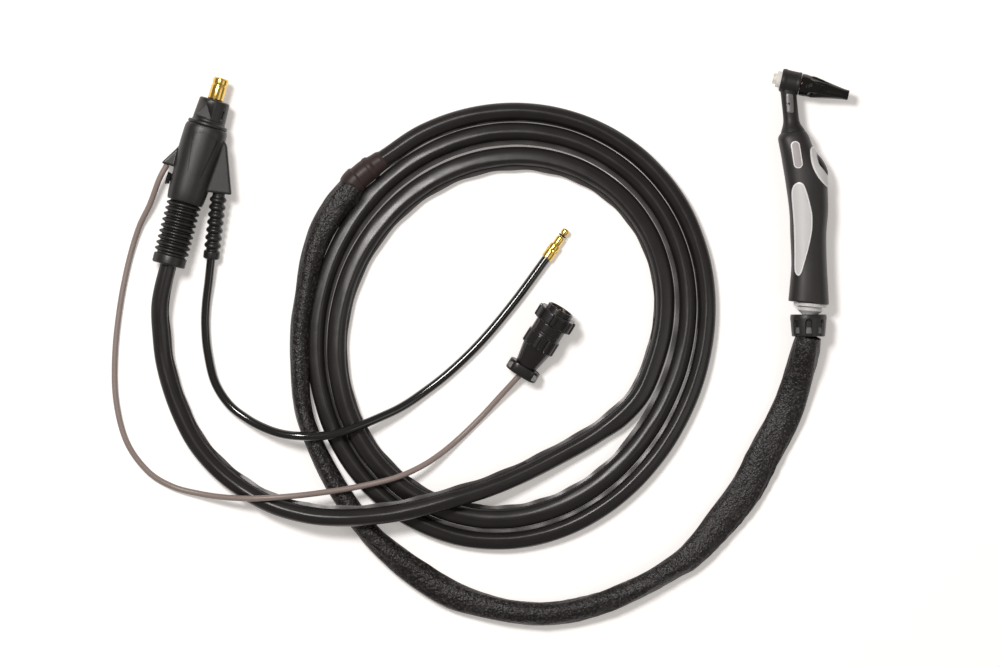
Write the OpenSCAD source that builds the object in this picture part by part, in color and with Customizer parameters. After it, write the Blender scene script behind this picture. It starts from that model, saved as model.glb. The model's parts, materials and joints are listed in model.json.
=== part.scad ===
// Water- or gas-cooled arc welding torch with its sleeved power cable, gas hose and control lead.
// Everything lies on a bench at z = 0, with the torch's long axis along Y.

/* [Head] */
// Diameter of the rubber head
head_d = 19.4; // [17:0.2:21]
// Length of the rubber head along the electrode axis
head_l = 15.5; // [14:0.5:18]
// Angle of the electrode axis below square to the handle
head_tilt = 13; // [0:1:20]
// Diameter of the thin lip round the head's front face
lip_d = 20.2; // [19:0.2:22]
// Diameter of the metal core in the head
core_d = 14.4; // [13.4:0.2:15]
// Diameter of the rubber neck
neck_d = 13.5; // [12:0.5:15]
// Outside diameter of the copper neck tube
neck_tube_d = 7; // [6:0.5:8]
// Diameter of the white insulator ring
insulator_d = 14; // [13:0.5:17]
// Length of the insulator ring
insulator_l = 5; // [3:0.5:8]
// Diameter of the collet body
collet_body_d = 9.6; // [9:0.2:10]
// How far the collet body stands out of the insulator ring
collet_body_out = 3; // [2:0.5:8]
// Diameter of the collet
collet_d = 4.4; // [4:0.2:5]
// Electrode diameter that the collet takes
electrode_d = 2.4; // [1.6:0.4:3.2]

/* [Back cap] */
// Length of the back cap
cap_l = 41.5; // [25:0.5:60]
// Diameter of the back cap at its base
cap_base_d = 18; // [16:0.5:20]
// Diameter of the back cap at its tip
cap_tip_d = 8; // [7:0.5:10]
// Number of finger flutes on the cap
cap_flutes = 7; // [5:1:9]
// Travel of the cap's thread for one turn
thread_pitch = 1.25; // [0.8:0.05:1.5]

/* [Handle] */
// Half of the handle's thickness
grip_half = 16; // [15:0.5:18]
// Wall of the handle shells
shell_wall = 2.2; // [1.8:0.1:3]
// Depth of the decorative inlays
inlay_depth = 0.8; // [0.5:0.1:1.2]
// Diameter of the two shell screws
screw_d = 3; // [2.5:0.5:3.5]
// Width of the trigger button
button_w = 12; // [10:1:14]
// Travel of the trigger button
button_travel = 2; // [1:0.5:2.5]
// Diameter of the hose inside the handle
power_hose_d = 6.5; // [6:0.5:7]

/* [Swivel] */
// Diameter of the swivel nut at its front
nut_d = 31.2; // [30.6:0.2:32]
// Diameter of the swivel nut at its back
nut_back_d = 28.6; // [28:0.2:30]
// Length of the swivel nut
nut_l = 18.8; // [18:0.2:22]
// Number of finger notches in the nut
nut_notches = 8; // [6:1:10]
// Radius of the swivel ball
ball_r = 9.9; // [9.4:0.1:9.9]
// Tilt of the handle from the nut's axis as it lies
rest_tilt = 5; // [3:1:6]
// Bore for the power hose through the ball
hose_bore_d = 9; // [8:0.5:9.5]

/* [Cables] */
// Outside diameter of the rubber sheath
sheath_d = 14; // [13:0.1:14]
// Number of loops that the sheath is laid in
coil_loops = 2.43; // [2.3:0.01:2.5]
// Diameter of the gas hose
gas_d = 7.5; // [6:0.5:8]
// Diameter of the control lead
lead_d = 5; // [4:0.5:6]

/* [Connector] */
// Diameter of the connector's shoulder ring
shoulder_d = 34.4; // [33:0.2:35]
// Diameter of the connector's nose
nose_d = 28.4; // [27:0.2:30]
// Diameter of the power pin
power_pin_d = 13.4; // [12.8:0.1:14]
// How far the power pin stands out of the nose
power_pin_l = 19.5; // [15:0.5:25]
// Diameter of the bore through the power pin
power_pin_bore = 5; // [4:0.5:7]
// Length of the connector's moulded body
body_l = 66; // [62:1:72]
// Outside diameter of the cable boot's ribs
boot_d = 30; // [28:0.5:32]
// Number of ribs on the cable boot
boot_ribs = 9; // [7:1:10]
// Length of the cable boot
boot_l = 55; // [53:0.5:55]
// Diameter of the gas boot's ribs
gas_boot_d = 14.5; // [13:0.5:16]
// Number of ribs on the gas boot
gas_boot_ribs = 7; // [5:1:8]

/* [Plugs] */
// Diameter of the gas plug's ferrule
ferrule_d = 9.6; // [9:0.2:10]
// Diameter of the gas plug's stem
gas_stem_d = 7; // [6.4:0.2:8]
// Diameter of the control plug's coupling ring
ring_d = 35.4; // [34:0.2:37]
// Length of the control plug's coupling ring
ring_l = 10.8; // [10:0.2:12]
// Number of lugs on the coupling ring
ring_lugs = 10; // [6:1:12]
// Diameter of the control plug's front barrel
barrel_d = 23.7; // [22:0.1:25]
// Width of the control plug's cable clamp
clamp_w = 29; // [26:1:31]

/* [Hidden] */
$fn = 48;

// Clearances: running parts, parts fitted together, soft parts beside hard ones
run_gap = 0.1;
fit_gap = 0.05;
ball_gap = 0.3;

// Height of the torch's middle plane above the bench
zc = grip_half;
// Longer than any piece is wide, for cuts that go right through
far = 400;

/* -------- shared shapes -------- */
// Places children with +Z along a heading in plan, raised by pitch, +X up and +Y to the right
module along(p, heading, pitch = 0) {
    translate(p) rotate([0, 0, heading]) rotate([0, 90 - pitch, 0]) rotate([0, 0, 180]) children();
}

// Cylinder between two stations of a local axis
module rod(r, z0, z1) {
    translate([0, 0, z0]) cylinder(r = r, h = z1 - z0);
}

// Cone between two stations of a local axis
module taper(r0, r1, z0, z1) {
    translate([0, 0, z0]) cylinder(r1 = r0, r2 = r1, h = z1 - z0);
}

// Cylinder that lies along Y
// Skin over a list of rings of equal length, closed at both ends
module skin(rings) {
    n = len(rings[0]);
    m = len(rings);
    sides = [for (i = [0:m - 2], j = [0:n - 1], k = [0, 1])
        let (a = i * n + j, b = i * n + (j + 1) % n)
        k == 0 ? [a, b + n, b] : [a, a + n, b + n]];
    first = [for (j = [0:n - 1]) j];
    last = [for (j = [n - 1:-1:0]) (m - 1) * n + j];
    polyhedron(points = [for (r = rings, p = r) p], faces = concat([first], sides, [last]));
}

/* -------- cords -------- */
function unit(v) = v / norm(v);
function heading_at(p, i) = unit(p[min(i + 1, len(p) - 1)] - p[max(i - 1, 0)]);
// Ring of an elliptical cord, w wide and h high, square to direction t
function cord_ring(c, t, w, h, n) =
    let (s = unit([-t.y, t.x, 0]), u = cross(t, s))
    [for (j = [0:n - 1]) let (a = (j + 0.5) * 360 / n)
        c + s * cos(a) * w / 2 + u * sin(a) * h / 2];
function places(route) = [for (p = route) [p[0], p[1], p[2]]];
// Rings of a round cord along its route, its end rings square to the given end directions
function cord_rings(p, d, n, t0, t1) = [for (i = [0:len(p) - 1])
    cord_ring(p[i], i == 0 ? t0 : i == len(p) - 1 ? t1 : heading_at(p, i), d, d, n)];
function plan_dir(a, pitch = 0) = [cos(a) * cos(pitch), sin(a) * cos(pitch), sin(pitch)];

/* -------- frames of the assemblies -------- */
// Centre of the swivel ball, inside the nut
nut_x = -2.4;
nut_y = -94.7;
ball_p = [nut_x, nut_y - 8.5, zc];
nut_end_y = nut_y - nut_l;
// Head: its centre, with the electrode axis through it
head_p = [-17.1, 102.6, zc];
head_front = -head_l / 2;
head_back = head_l / 2;
// Connector: centre of the shoulder ring, its axis in plan, its height above the bench
conn_p = [-512.6, 66.4, 17.5];
conn_dir = 73.4;
boot_p = conn_p - (body_l + 3) * plan_dir(conn_dir);
boot_dir = 75.4;
boot_tip = boot_p - boot_l * plan_dir(boot_dir);
// Gas outlet and its boot, on the right of the connector
gas_p = [-503.4, 6, 17];
gas_boot_dir = 83;
gas_pitch = 8.5;
gas_boot_l = 54.5;
gas_tip = gas_p - gas_boot_l * plan_dir(gas_boot_dir, gas_pitch);
// Gas plug
gas_plug_p = [-225, -47, ferrule_d / 2];
gas_plug_dir = 54.5;
// Control plug: it rests on its cable clamp and on its coupling ring
plug_dir = 57.9;
clamp_h = 20;
ring_at = 51.4;
plug_pitch = atan((ring_d - clamp_h) / 2 / ring_at);
plug_p = [-247.4, -146, clamp_h / 2 * cos(plug_pitch)];

/* -------- routes of the cords -------- */
// Leather sleeve: [x, y, z, width, height]
leather_route = [[nut_x, nut_end_y, 16, 21, 21], [-5, -125, 14, 24, 20], [-12, -151, 9, 26, 15],
    [-20, -175, 6.7, 27, 13], [-36, -207, 6.7, 27, 13], [-55, -243, 6.7, 27, 13],
    [-75, -269, 6.7, 26, 13], [-100, -298, 7.5, 22, 15], [-122, -313, 8.5, 18, 17],
    [-145, -326, 8.5, 18, 17], [-175, -339, 8.5, 19, 17], [-212, -348, 8.5, 19, 17],
    [-250, -348, 8.5, 19, 17], [-286, -340, 7.7, 21, 15], [-315, -328, 7.2, 23, 14],
    [-343, -309, 7.2, 22, 14], [-367, -289, 8.2, 18, 16], [-383, -271, 8.2, 17, 16],
    [-398, -249, 8.2, 17, 16], [-412, -225, 8.6, 16, 17], [-425, -197, 9, 14.5, 18],
    [-433, -170, 9, 13.5, 18], [-436, -140, 9, 13, 18], [-436, -105, 9, 13, 18],
    [-432, -78, 9, 13.5, 18], [-427, -50, 9, 15, 18], [-418, -24, 9, 17.5, 18],
    [-405, -2, 9.2, 19, 18], [-387, 19, 10, 19, 19]];
// Coil of the sheath: centre, first radius, draw-in, and how far it is out of round
coil_p = [-264, -104];
coil_r = 181;
coil_pitch = 14;
coil_pitch_growth = 2.2;
coil_start = 126;
coil_side = 6.5;
coil_side_dir = -34;
coil_oval = 8.4;
coil_oval_dir = 72;
coil_oval_turn = 5;
coil_three = 1.4;
coil_three_dir = 28;
coil_rings = 24;
joint_z = 10;
function coil_at(n) = let (a = coil_start - 360 * n,
    r = coil_r - coil_pitch * n - coil_pitch_growth * n * n + coil_side * cos(a - coil_side_dir)
        + coil_oval * cos(2 * (a - coil_oval_dir + coil_oval_turn * n))
        + coil_three * cos(3 * (a - coil_three_dir)),
    rise = (joint_z + 0.5 - sheath_d / 2) * pow(max(0, 1 - n / 0.1), 2))
    [coil_p.x + r * cos(a), coil_p.y + r * sin(a), sheath_d / 2 + rise];
coil_steps = round(coil_rings * coil_loops);
coil_route = [for (i = [0:coil_steps]) coil_at(coil_loops * i / coil_steps)];
coil_tail = heading_at(coil_route, coil_steps);
// Least gap of the coil to itself, from its points to the strands a loop away
function spot_gap(p, a, b) = let (v = b - a, t = max(0, min(1, (p - a) * v / (v * v))))
    norm(p - a - t * v) - sheath_d;
coil_gap = min([for (i = [0:coil_steps], k = [0:coil_steps - 1])
    if (abs(k - i) > coil_rings / 2) spot_gap(coil_route[i], coil_route[k], coil_route[k + 1])]);
echo(coil_least_gap_mm = coil_gap);

// Sheath from the coil over the loops to the connector
run_route = concat([coil_route[coil_steps]], [[-179, -194, 7], [-213, -214, 9], [-247, -231, 13],
    [-277, -243, 17.5], [-307, -252, 21.5], [-337, -260, 23], [-366, -265, 23.5], [-396, -267, 24],
    [-426, -265, 22], [-456, -257, 15.5], [-481, -244, 9.5], [-505, -225, 7], [-524, -202, 7],
    [-539, -171, 7], [-549, -138, 7], [-552, -112, 9], [-553, -85, 14]], [boot_tip]);
// Gas hose from its boot to its plug
gas_route = concat([gas_tip], [[-512, -66, 6.8], [-514.5, -87, 4.4], [-515, -106, 3.75],
    [-513, -127, 3.75], [-507, -152, 3.75], [-495, -171, 4.5], [-480, -183, 8],
    [-465, -191, 13.5], [-450, -196, 19], [-434, -198, 22.8], [-417, -198, 23], [-400, -195, 21.5],
    [-383, -189, 18], [-366, -182, 13.5], [-349, -174, 8.5], [-332, -163, 5],
    [-308, -144.5, 3.75], [-281, -118.5, 3.75], [-253, -85, 4]], [gas_plug_p]);
// Control lead from the connector to its plug
lead_out_pos = -42.4;
lead_out_p = conn_p + lead_out_pos * plan_dir(conn_dir) + 23.6 * plan_dir(conn_dir + 90) - [0, 0, 1.5];
lead_route = concat([lead_out_p], [[-554, 20, 14.5], [-562, -1, 9.5], [-572, -22, 4.5],
    [-581, -53, 2.5], [-588, -90, 2.5], [-592, -130, 2.5], [-591, -168, 2.5], [-582, -203, 2.5],
    [-564, -228, 2.5], [-543, -241, 3.2], [-520, -247, 7], [-499, -250, 14], [-477, -251, 21.5],
    [-455, -250, 25.5], [-432, -248, 25.2], [-409, -245, 22], [-385, -241, 19.8],
    [-355, -234, 18], [-333.5, -225, 14], [-316, -214, 8], [-299, -200, 3.5], [-280, -181.5, 3],
    [-264, -164, 6]], [plug_p]);
module leather_sleeve() color("#2e2a29")
    skin([for (i = [0:len(leather_route) - 1]) let (q = leather_route[i], p = places(leather_route))
        cord_ring(p[i], i == 0 ? [0, -1, 0] : i == len(p) - 1 ? joint_dir : heading_at(p, i),
            q[3], q[4], 10)]);
joint_p = places(leather_route)[len(leather_route) - 1];
joint_dir = unit(coil_route[0] - joint_p);
module sleeve_joint() color("#3a2a22")
    skin([for (s = [[0, 19.5], [0.42, 19.5], [0.46, 18], [0.78, 17.5], [0.82, 15.6], [1, 15.2]])
        cord_ring(joint_p + s[0] * (coil_route[0] - joint_p), joint_dir, s[1], s[1], 16)]);
module sheath_coil() color("#1b1b1c")
    skin(cord_rings(coil_route, sheath_d, 8, joint_dir, coil_tail));
module sheath_run() color("#1b1b1c")
    skin(cord_rings(run_route, sheath_d, 8, coil_tail, plan_dir(boot_dir)));
module gas_hose() color("#151515")
    skin(cord_rings(gas_route, gas_d, 8, -plan_dir(gas_boot_dir, gas_pitch),
        plan_dir(gas_plug_dir)));
module control_lead() color("#8a7d76")
    skin(cord_rings(lead_route, lead_d, 8, -plan_dir(conn_dir),
        plan_dir(plug_dir, plug_pitch)));

/* -------- head -------- */
neck_top = [-19.4, 94, zc];
neck_heading = -84.1;
neck_tube_l = 52;
cap_recess = 2.2;
spigot_d = core_d - 4.8;
module in_head() { along(head_p, -head_tilt) children(); }
module in_neck() { along(neck_top, neck_heading) children(); }
// Smooth section of the handle or neck: [y, left, right, half height, slope], drawn in by inset
function oval_ring(s, inset, e = 0.82, n = 20) = let (cx = (s[1] + s[2]) / 2,
    a = (s[2] - s[1]) / 2 - inset)
    [for (j = [0:n - 1]) let (t = (j + 0.5) * 360 / n,
        x = a * sign(cos(t)) * pow(abs(cos(t)), e),
        z = (s[3] - inset) * sign(sin(t)) * pow(abs(sin(t)), e))
        [cx + x, s[0] + s[4] * x, zc + z]];
neck_sections = [[99, -26.7, -13.2, neck_d / 2, 0], [71, -23.8, -10.3, neck_d / 2, 0],
    [66, -24.2, -8.8, neck_d / 2 + 1.4, 0.06], [60.5, -26.1, -5.3, 10.8, 0.12]];
neck_roundness = [1, 1, 0.95, 0.82];
module head_cover() color("#262626") difference() {
    union() {
        in_head() rod(head_d / 2, head_front, head_back);
        in_head() rod(lip_d / 2, head_front, head_front + 1.2);
        skin([for (i = [0:3]) oval_ring(neck_sections[i], 0, neck_roundness[i])]);
    }
    in_head() rod(core_d / 2, head_front - 1, head_back + 1);
    in_neck() rod(neck_tube_d / 2 + fit_gap, 0, neck_tube_l);
    in_neck() plate_skin(0);
    translate(rivet_p) rod(rivet_r, -1, 3);
}
module head_core() color("#b87340") difference() {
    in_head() rod(core_d / 2, head_front, head_back);
    in_head() rod(shank_r, head_front - 1, collet_body_end);
    in_head() rod(spigot_d / 2 + run_gap, head_back - 7, head_back + 1);
    in_head() rod(oring_r + run_gap, head_back - cap_recess, head_back + 1);
}
module neck_tube() color("#b87340") difference() {
    in_neck() rod(neck_tube_d / 2, 2, neck_tube_l);
    in_neck() rod(neck_tube_d / 2 - 1.2, 1, neck_tube_l + 1);
    in_head() rod(core_d / 2, head_front, head_back);
}
module insulator_ring() color("#e9e7e0") in_head() difference() {
    rod(insulator_d / 2, insulator_front, head_front);
    rod(shank_r, insulator_front - 1, head_front + 1);
}
module collet_body() color("#b9934f") in_head() difference() {
    union() {
        rod(collet_body_d / 2, insulator_front - collet_body_out, insulator_front - shank_out);
        rod(shank_r, insulator_front - shank_out, collet_body_end);
    }
    rod(collet_d / 2 + run_gap, insulator_front - collet_body_out - 1, head_back);
}
insulator_front = head_front - insulator_l;
// The collet body's shank is thinner than the seat that carries the nozzle
shank_r = collet_body_d / 2 - 0.4;
shank_out = 0.3;
collet_body_end = head_back - 6;
collet_front = insulator_front - collet_body_out + 0.6;
collet_l = 30;
module collet() color("#a9713c") in_head() difference() {
    rod(collet_d / 2, collet_front, collet_front + collet_l);
    rod(electrode_d / 2 + run_gap, collet_front - 1, collet_front + collet_l + 1);
}
oring_r = spigot_d / 2 + 1.3;
module back_cap() color("#141414") in_head() difference() {
    union() {
        taper(cap_base_d / 2, cap_tip_d / 2, head_back, head_back + cap_l - 2);
        taper(cap_tip_d / 2, cap_tip_d / 2 - 1.2, head_back + cap_l - 2, head_back + cap_l);
        rod(spigot_d / 2, head_back - 5.5, head_back);
    }
    rod(collet_d / 2 + run_gap, head_back - 6, collet_front + collet_l + 4.5);
    for (i = [0:cap_flutes - 1]) rotate([0, 0, i * 360 / cap_flutes])
        translate([cap_base_d / 2 + 1, 0, head_back + 5]) rotate([0, -flute_tilt, 0])
            rod(flute_r, 0, flute_l);
}
// Finger flutes of the back cap
flute_r = 2.6;
flute_tilt = 6;
flute_l = 17;
module cap_oring() color("#2b2b2b") in_head()
    translate([0, 0, head_back - 0.8]) rotate_extrude() translate([spigot_d / 2 + 0.65, 0]) circle(0.65);
// Curved grey plate on top of the neck, and its rivet
rivet_p = [-19.4, 84.3, zc + neck_d / 2];
rivet_r = 0.9;
plate_t = 0.7;
module plate_skin(grow) {
    intersection() {
        difference() {
            rod(neck_d / 2 + plate_t + grow, 1.6, 18.6);
            rod(neck_d / 2 - 0.15, 1, 20);
        }
        translate([2, -3.3 - grow, 0]) cube([20, 6.6 + 2 * grow, 20]);
    }
}
module neck_plate() color("#8e8e8c") difference() {
    in_neck() plate_skin(0);
    translate(rivet_p) rod(rivet_r, -3, 3);
}
module neck_rivet() color("#222222") translate(rivet_p) rod(rivet_r, -1, plate_t + 0.3);

/* -------- handle -------- */
handle_sections = [[60.5, -26.1, -5.3, 10.8, 0.12], [56, -28.2, -2.2, 13, 0.08],
    [49, -27.3, 0.7, 14.4, 0.03], [41, -25.8, 5.2, 15.2, 0], [33, -24.5, 9.4, 15.5, 0],
    [26, -23.3, 13.2, 15.8, 0], [14, -21.4, 13.9, grip_half, 0], [-7, -18.7, 14.3, grip_half, 0],
    [-27, -17.9, 12.8, 15.6, 0], [-52, -17, 13.2, 15.6, 0], [-72, -18.4, 14.4, grip_half, -0.06],
    [-85, -19.6, 15, grip_half, -0.098]];
cavity_sections = concat([[57, -26.8, -3.5, 12, 0.1]],
    [for (i = [2:10]) handle_sections[i]], [[-80.6, -19, 14.8, grip_half, -0.098]]);
screw_places = [[-16, 20], [4, -66]];
boss_r = 3.6;
button_p = [9.4, 33.5, zc];
button_dir = 29.6;
button_l = 19;
switch_face = -9.2;
module handle_body(inset) skin([for (s = handle_sections) oval_ring(s, inset)]);
module handle_cavity() skin([for (s = cavity_sections) oval_ring(s, shell_wall)]);
module half_space(side) translate([-far, -far, side > 0 ? zc : zc - far])
    cube([2 * far, 2 * far, far]);
module prism(points) linear_extrude(height = 2 * grip_half + 10) polygon(points);
bezel_outline = [[1.4, 48.2], [20, 46], [20, 12.2], [14.2, 12.7], [5.7, 21.2], [0.3, 32], [-1.3, 44.4]];
inlay_outline = [[-10.5, 17.3], [-14.5, 14.5], [-17.6, 8.8], [-16.3, -9.7], [-15.1, -33], [-14.4, -59],
    [-11.3, -62.2], [-7.5, -58.3], [-2, -39], [0.3, -29], [0.8, -20.5], [0.3, -9.7], [-4.3, 7.3]];
module badge_outline() hull() {
    translate([-13.9, 48.5]) circle(3.85, $fn = 32);
    translate([-11.5, 33]) circle(3.85, $fn = 32);
}
// The button's flange, which stops it behind the window, and the pocket that it slides in
flange = 1.2;
flange_back = -6.8;
flange_t = 2.4;
module button_flange(grow, travel) translate(button_p) rotate([0, 0, button_dir])
    translate([flange_back - travel - grow, -button_l / 2 - flange - grow,
        -button_w / 2 - flange - grow])
        cube([flange_t + travel + 2 * grow, button_l + 2 * (flange + grow),
            button_w + 2 * (flange + grow)]);
module button_window(grow) translate(button_p) rotate([0, 0, button_dir])
    translate([-6, -button_l / 2 - grow, -button_w / 2 - grow])
        cube([14, button_l + 2 * grow, button_w + 2 * grow]);
module shell(side) difference() {
    union() {
        difference() {
            intersection() {
                handle_body(0);
                half_space(side);
            }
            handle_cavity();
        }
        intersection() {
            handle_body(shell_wall / 2);
            half_space(side);
            union() {
                for (p = screw_places) translate(p) rod(boss_r, 0, 2 * grip_half);
                if (side < 0) translate(button_p) rotate([0, 0, button_dir])
                    translate([switch_face - 6, -7, -grip_half]) cube([5, 14, grip_half - switch_h / 2]);
            }
        }
    }
    for (p = screw_places) translate(p) rod(screw_d / 2, -1, zc + 9);
    for (p = screw_places) translate(p) rod(screw_d / 2 + 1.4, -1, 3);
    in_neck() rod(neck_tube_d / 2 + fit_gap, 20, neck_tube_l);
    in_ball() rod(stem_r + fit_gap, 0, 30);
    difference() {
        prism(bezel_outline);
        handle_body(1.1);
    }
    button_window(0.3);
    button_flange(0.15, button_travel);
    in_ball() rod(collar_r + fit_gap, collar_low - fit_gap, collar_high + fit_gap);
}
switch_h = 10;
switch_l = 16;
switch_t = 6.4;
module handle_shell_upper() color("#232325") difference() {
    shell(1);
    difference() {
        translate([0, 0, zc]) union() {
            prism(inlay_outline);
            linear_extrude(height = 30) badge_outline();
        }
        handle_body(inlay_depth);
    }
}
module handle_shell_lower() color("#232325") shell(-1);
module inlay_upper() color("#dedfdd") difference() {
    intersection() {
        handle_body(0);
        translate([0, 0, zc]) prism(inlay_outline);
    }
    handle_body(inlay_depth);
}
module badge_upper() color("#cfc6c4") difference() {
    intersection() {
        handle_body(0);
        translate([0, 0, zc]) linear_extrude(height = 30) badge_outline();
    }
    handle_body(inlay_depth);
}
module trigger_bezel() color("#dedfdd") difference() {
    intersection() {
        handle_body(-0.4);
        prism(bezel_outline);
    }
    handle_body(1.1);
    button_window(0.3);
}
module trigger_button() color("#171717") difference() {
    union() {
        translate(button_p) rotate([0, 0, button_dir]) intersection() {
            translate([-6, -button_l / 2, -button_w / 2]) cube([9, button_l, button_w]);
            translate([-30.2, 0, -button_w]) cylinder(r = 32, h = 2 * button_w);
        }
        button_flange(0, 0);
    }
    translate(button_p) rotate([0, 0, button_dir]) rotate([0, 90, 0])
        rod(spring_r + 0.4, -8, 0);
}
spring_r = 2.2;
module trigger_spring() color("#b5b7b8") translate(button_p) rotate([0, 0, button_dir])
    rotate([0, 90, 0]) difference() {
        rod(spring_r, switch_face, -button_travel - 0.3);
        rod(spring_r - 0.8, switch_face - 1, 0);
    }
module micro_switch() color("#3a3f46") translate(button_p) rotate([0, 0, button_dir])
    translate([switch_face - switch_t, -switch_l / 2, -switch_h / 2])
        cube([switch_t, switch_l, switch_h]);
module handle_screws() color("#9a9c9e") for (p = screw_places) translate(p) {
    rod(screw_d / 2, 2, zc + 8);
    rod(screw_d / 2 + 1.2, 0.9, 3);
}
// Stem of the ball, and the collar at its end, which the handle's shells close round
stem_r = 10.6;
collar_r = stem_r + 1.6;
collar_low = 22.7;
collar_high = 24.2;
// Route of the hose inside the handle, from the neck tube into the ball's bore
hose_end = 14;
hose_route = [neck_top + neck_tube_l * plan_dir(neck_heading), [-13.2, 34.5, zc], [-8.6, 20, zc],
    [-5.5, -10, zc], [-3.2, -45, zc], [-3.6, -62, zc],
    ball_p + collar_high * plan_dir(90 - rest_tilt) - [0.8, 0, 0],
    ball_p + hose_end * plan_dir(90 - rest_tilt)];
module power_hose() color("#54423a")
    skin(cord_rings(hose_route, power_hose_d, 10, plan_dir(neck_heading),
        -plan_dir(90 - rest_tilt)));

/* -------- swivel -------- */
seat_r = ball_r + ball_gap;
seat_wall = 1.2;
race_r = seat_r + seat_wall + ball_gap;
race_d = 2 * race_r + 3.4;
module in_ball() { along(ball_p, 90 - rest_tilt) children(); }
module in_nut() { along(ball_p, 90) children(); }
module ball_neck() color("#d9dad8") in_ball() difference() {
    union() {
        sphere(ball_r);
        rod(6.2, 0, 9);
        taper(6.2, 10.5, 8.2, 11.7);
        rod(10.5, 11.7, 15.4);
        rod(14, 15.3, 17.9);
        rod(stem_r, 18, 24);
        rod(collar_r, collar_low, collar_high);
    }
    rod(hose_bore_d / 2, -12, 26);
}
module ball_seat() color("#6d6f70") in_nut() difference() {
    sphere(seat_r + seat_wall);
    sphere(seat_r);
    rod(14, 6.9, 14);
    rod(14, -14, -7);
}
module ball_race() color("#47494a") in_nut() difference() {
    rod(race_d / 2, -7.6, 7.1);
    sphere(race_r);
}
module swivel_nut() color("#1d1d1e") in_nut() difference() {
    taper(nut_back_d / 2, nut_d / 2, 8.5 - nut_l, 8.5);
    rod(race_d / 2 + run_gap, -7.7, 7.2);
    rod(12, 7, 9);
    rod(8.5, 8 - nut_l, 0);
    for (i = [0:nut_notches - 1]) rotate([0, 0, (i + 0.5) * 360 / nut_notches])
        translate([nut_d / 2 + 1.9, 0, 0]) rod(3, -4, 9);
}

/* -------- connector -------- */
nose_l = 21.8;
ring_half = 1.5;
body_end = -ring_half - body_l - 1.5;
fin_t = 17;
lead_fin_t = 10;
crimp_d = 16;
gas_barb_r = 2.6;
connector_screws = [[13, -15], [-12, -57]];
module in_connector() { along(conn_p, conn_dir) children(); }
// Plan frame of the connector: x to the right, y towards the pin, z up
module connector_plan() { translate(conn_p) rotate([0, 0, conn_dir - 90]) children(); }
module in_gas_outlet() { along(gas_p, gas_boot_dir, gas_pitch) children(); }
function body_ring(s, inset) = [for (j = [0:23]) let (t = (j + 0.5) * 15)
    [(s[1] - inset) * sign(cos(t)) * pow(abs(cos(t)), 0.85), s[0],
     (s[2] - inset) * sign(sin(t)) * pow(abs(sin(t)), 0.85)]];
body_sections = [[-ring_half, 17.2, 16.4], [-8, 18.6, 17.2], [-24, 18.6, 17.2], [-45, 17.4, 16.8],
    [-60, 16.6, 16.2], [body_end, 15.6, 15.2]];
module connector_body(inset) skin([for (s = body_sections) body_ring(s, inset)]);
gas_fin = [[10, -7], [17.4, -8.8], [21, -12.5], [36.5, -51.4], [15.9, -54.9], [10, -54]];
lead_fin = [[-10, -20], [-17.5, -22], [-20.2, -27.6], [-28.7, lead_out_pos], [-10, lead_out_pos]];
panel = [[-9.6, -9.2], [0, -7.5], [12.9, -10.9], [7.8, -44.7], [-1.5, -44.9], [-4.7, -42.5]];
module slab(points, t) translate([0, 0, -t / 2]) linear_extrude(height = t) polygon(points);
module connector_half(side) connector_plan() difference() {
    union() {
        connector_body(0);
        slab(gas_fin, fin_t);
        translate([0, 0, -1.5]) slab(lead_fin, lead_fin_t);
    }
    translate([-far, -far, side > 0 ? -far : 0]) cube([2 * far, 2 * far, far]);
    rotate([90, 0, 0]) rod(crimp_d / 2 + 2, ring_half + 3, 2 - body_end - 5);
    rotate([90, 0, 0]) rod(crimp_d / 2 + fit_gap, -1, 1 - body_end);
    for (p = connector_screws) translate(p) rod(1.55, -20, 10);
    for (p = connector_screws) translate(p) rod(2.9, -20, -14);
    rotate([0, 0, 90 - conn_dir]) translate(-conn_p) in_gas_outlet()
        rod(gas_barb_r + fit_gap, -1, 17);
    rotate([0, 90, 0]) translate([0, knob_pos, -25]) cylinder(r = 2, h = 12);
    if (side > 0) difference() {
        linear_extrude(height = 30) polygon(panel);
        connector_body(0.8);
    }
}
knob_pos = -53;
module connector_shell_upper() color("#1e1e1f") connector_half(1);
module connector_shell_lower() color("#1e1e1f") connector_half(-1);
module connector_nose() color("#1e1e1f") difference() {
    union() {
        in_connector() rod(shoulder_d / 2, -ring_half, ring_half);
        in_connector() taper(nose_d / 2, nose_d / 2 - 1.2, ring_half, nose_l);
        intersection() {
            in_connector() rod(nose_d / 2 + 0.4, ring_half, nose_l);
            connector_plan() linear_extrude(height = 20)
                polygon([[-5.2, 15.9], [-11.5, 5.6], [1.8, 5.3]]);
        }
    }
    in_connector() rod(pin_shank_r + fit_gap, -5, nose_l + 1);
    connector_plan() translate([9.5, 7.6, 6]) cube([1.4, 7, 20]);
}
// The pin's shank in the nose is thinner than the plain pin in front of it
pin_shank_r = power_pin_d / 2 - 0.3;
module power_pin() color("#c79a4b") in_connector() difference() {
    union() {
        rod(pin_shank_r, -ring_half - 4, nose_l + 0.6);
        rod(power_pin_d / 2, nose_l + 0.5, nose_l + power_pin_l - 1);
        taper(power_pin_d / 2, power_pin_d / 2 - 1, nose_l + power_pin_l - 1, nose_l + power_pin_l);
        rod(crimp_d / 2, -ring_half - 10, -ring_half - 0.1);
    }
    rod(power_pin_bore / 2, -20, nose_l + power_pin_l + 1);
}
module cable_crimp() color("#b87340") in_connector() difference() {
    rod(crimp_d / 2, body_end + 0.1, -ring_half - 10);
    rod(crimp_d / 2 - 2, body_end - 1, -ring_half);
}
module shell_screws() color("#9a9c9e") connector_plan() for (p = connector_screws) translate(p) {
    rod(1.5, -14, 9);
    rod(2.8, -15.5, -14);
}
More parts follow.
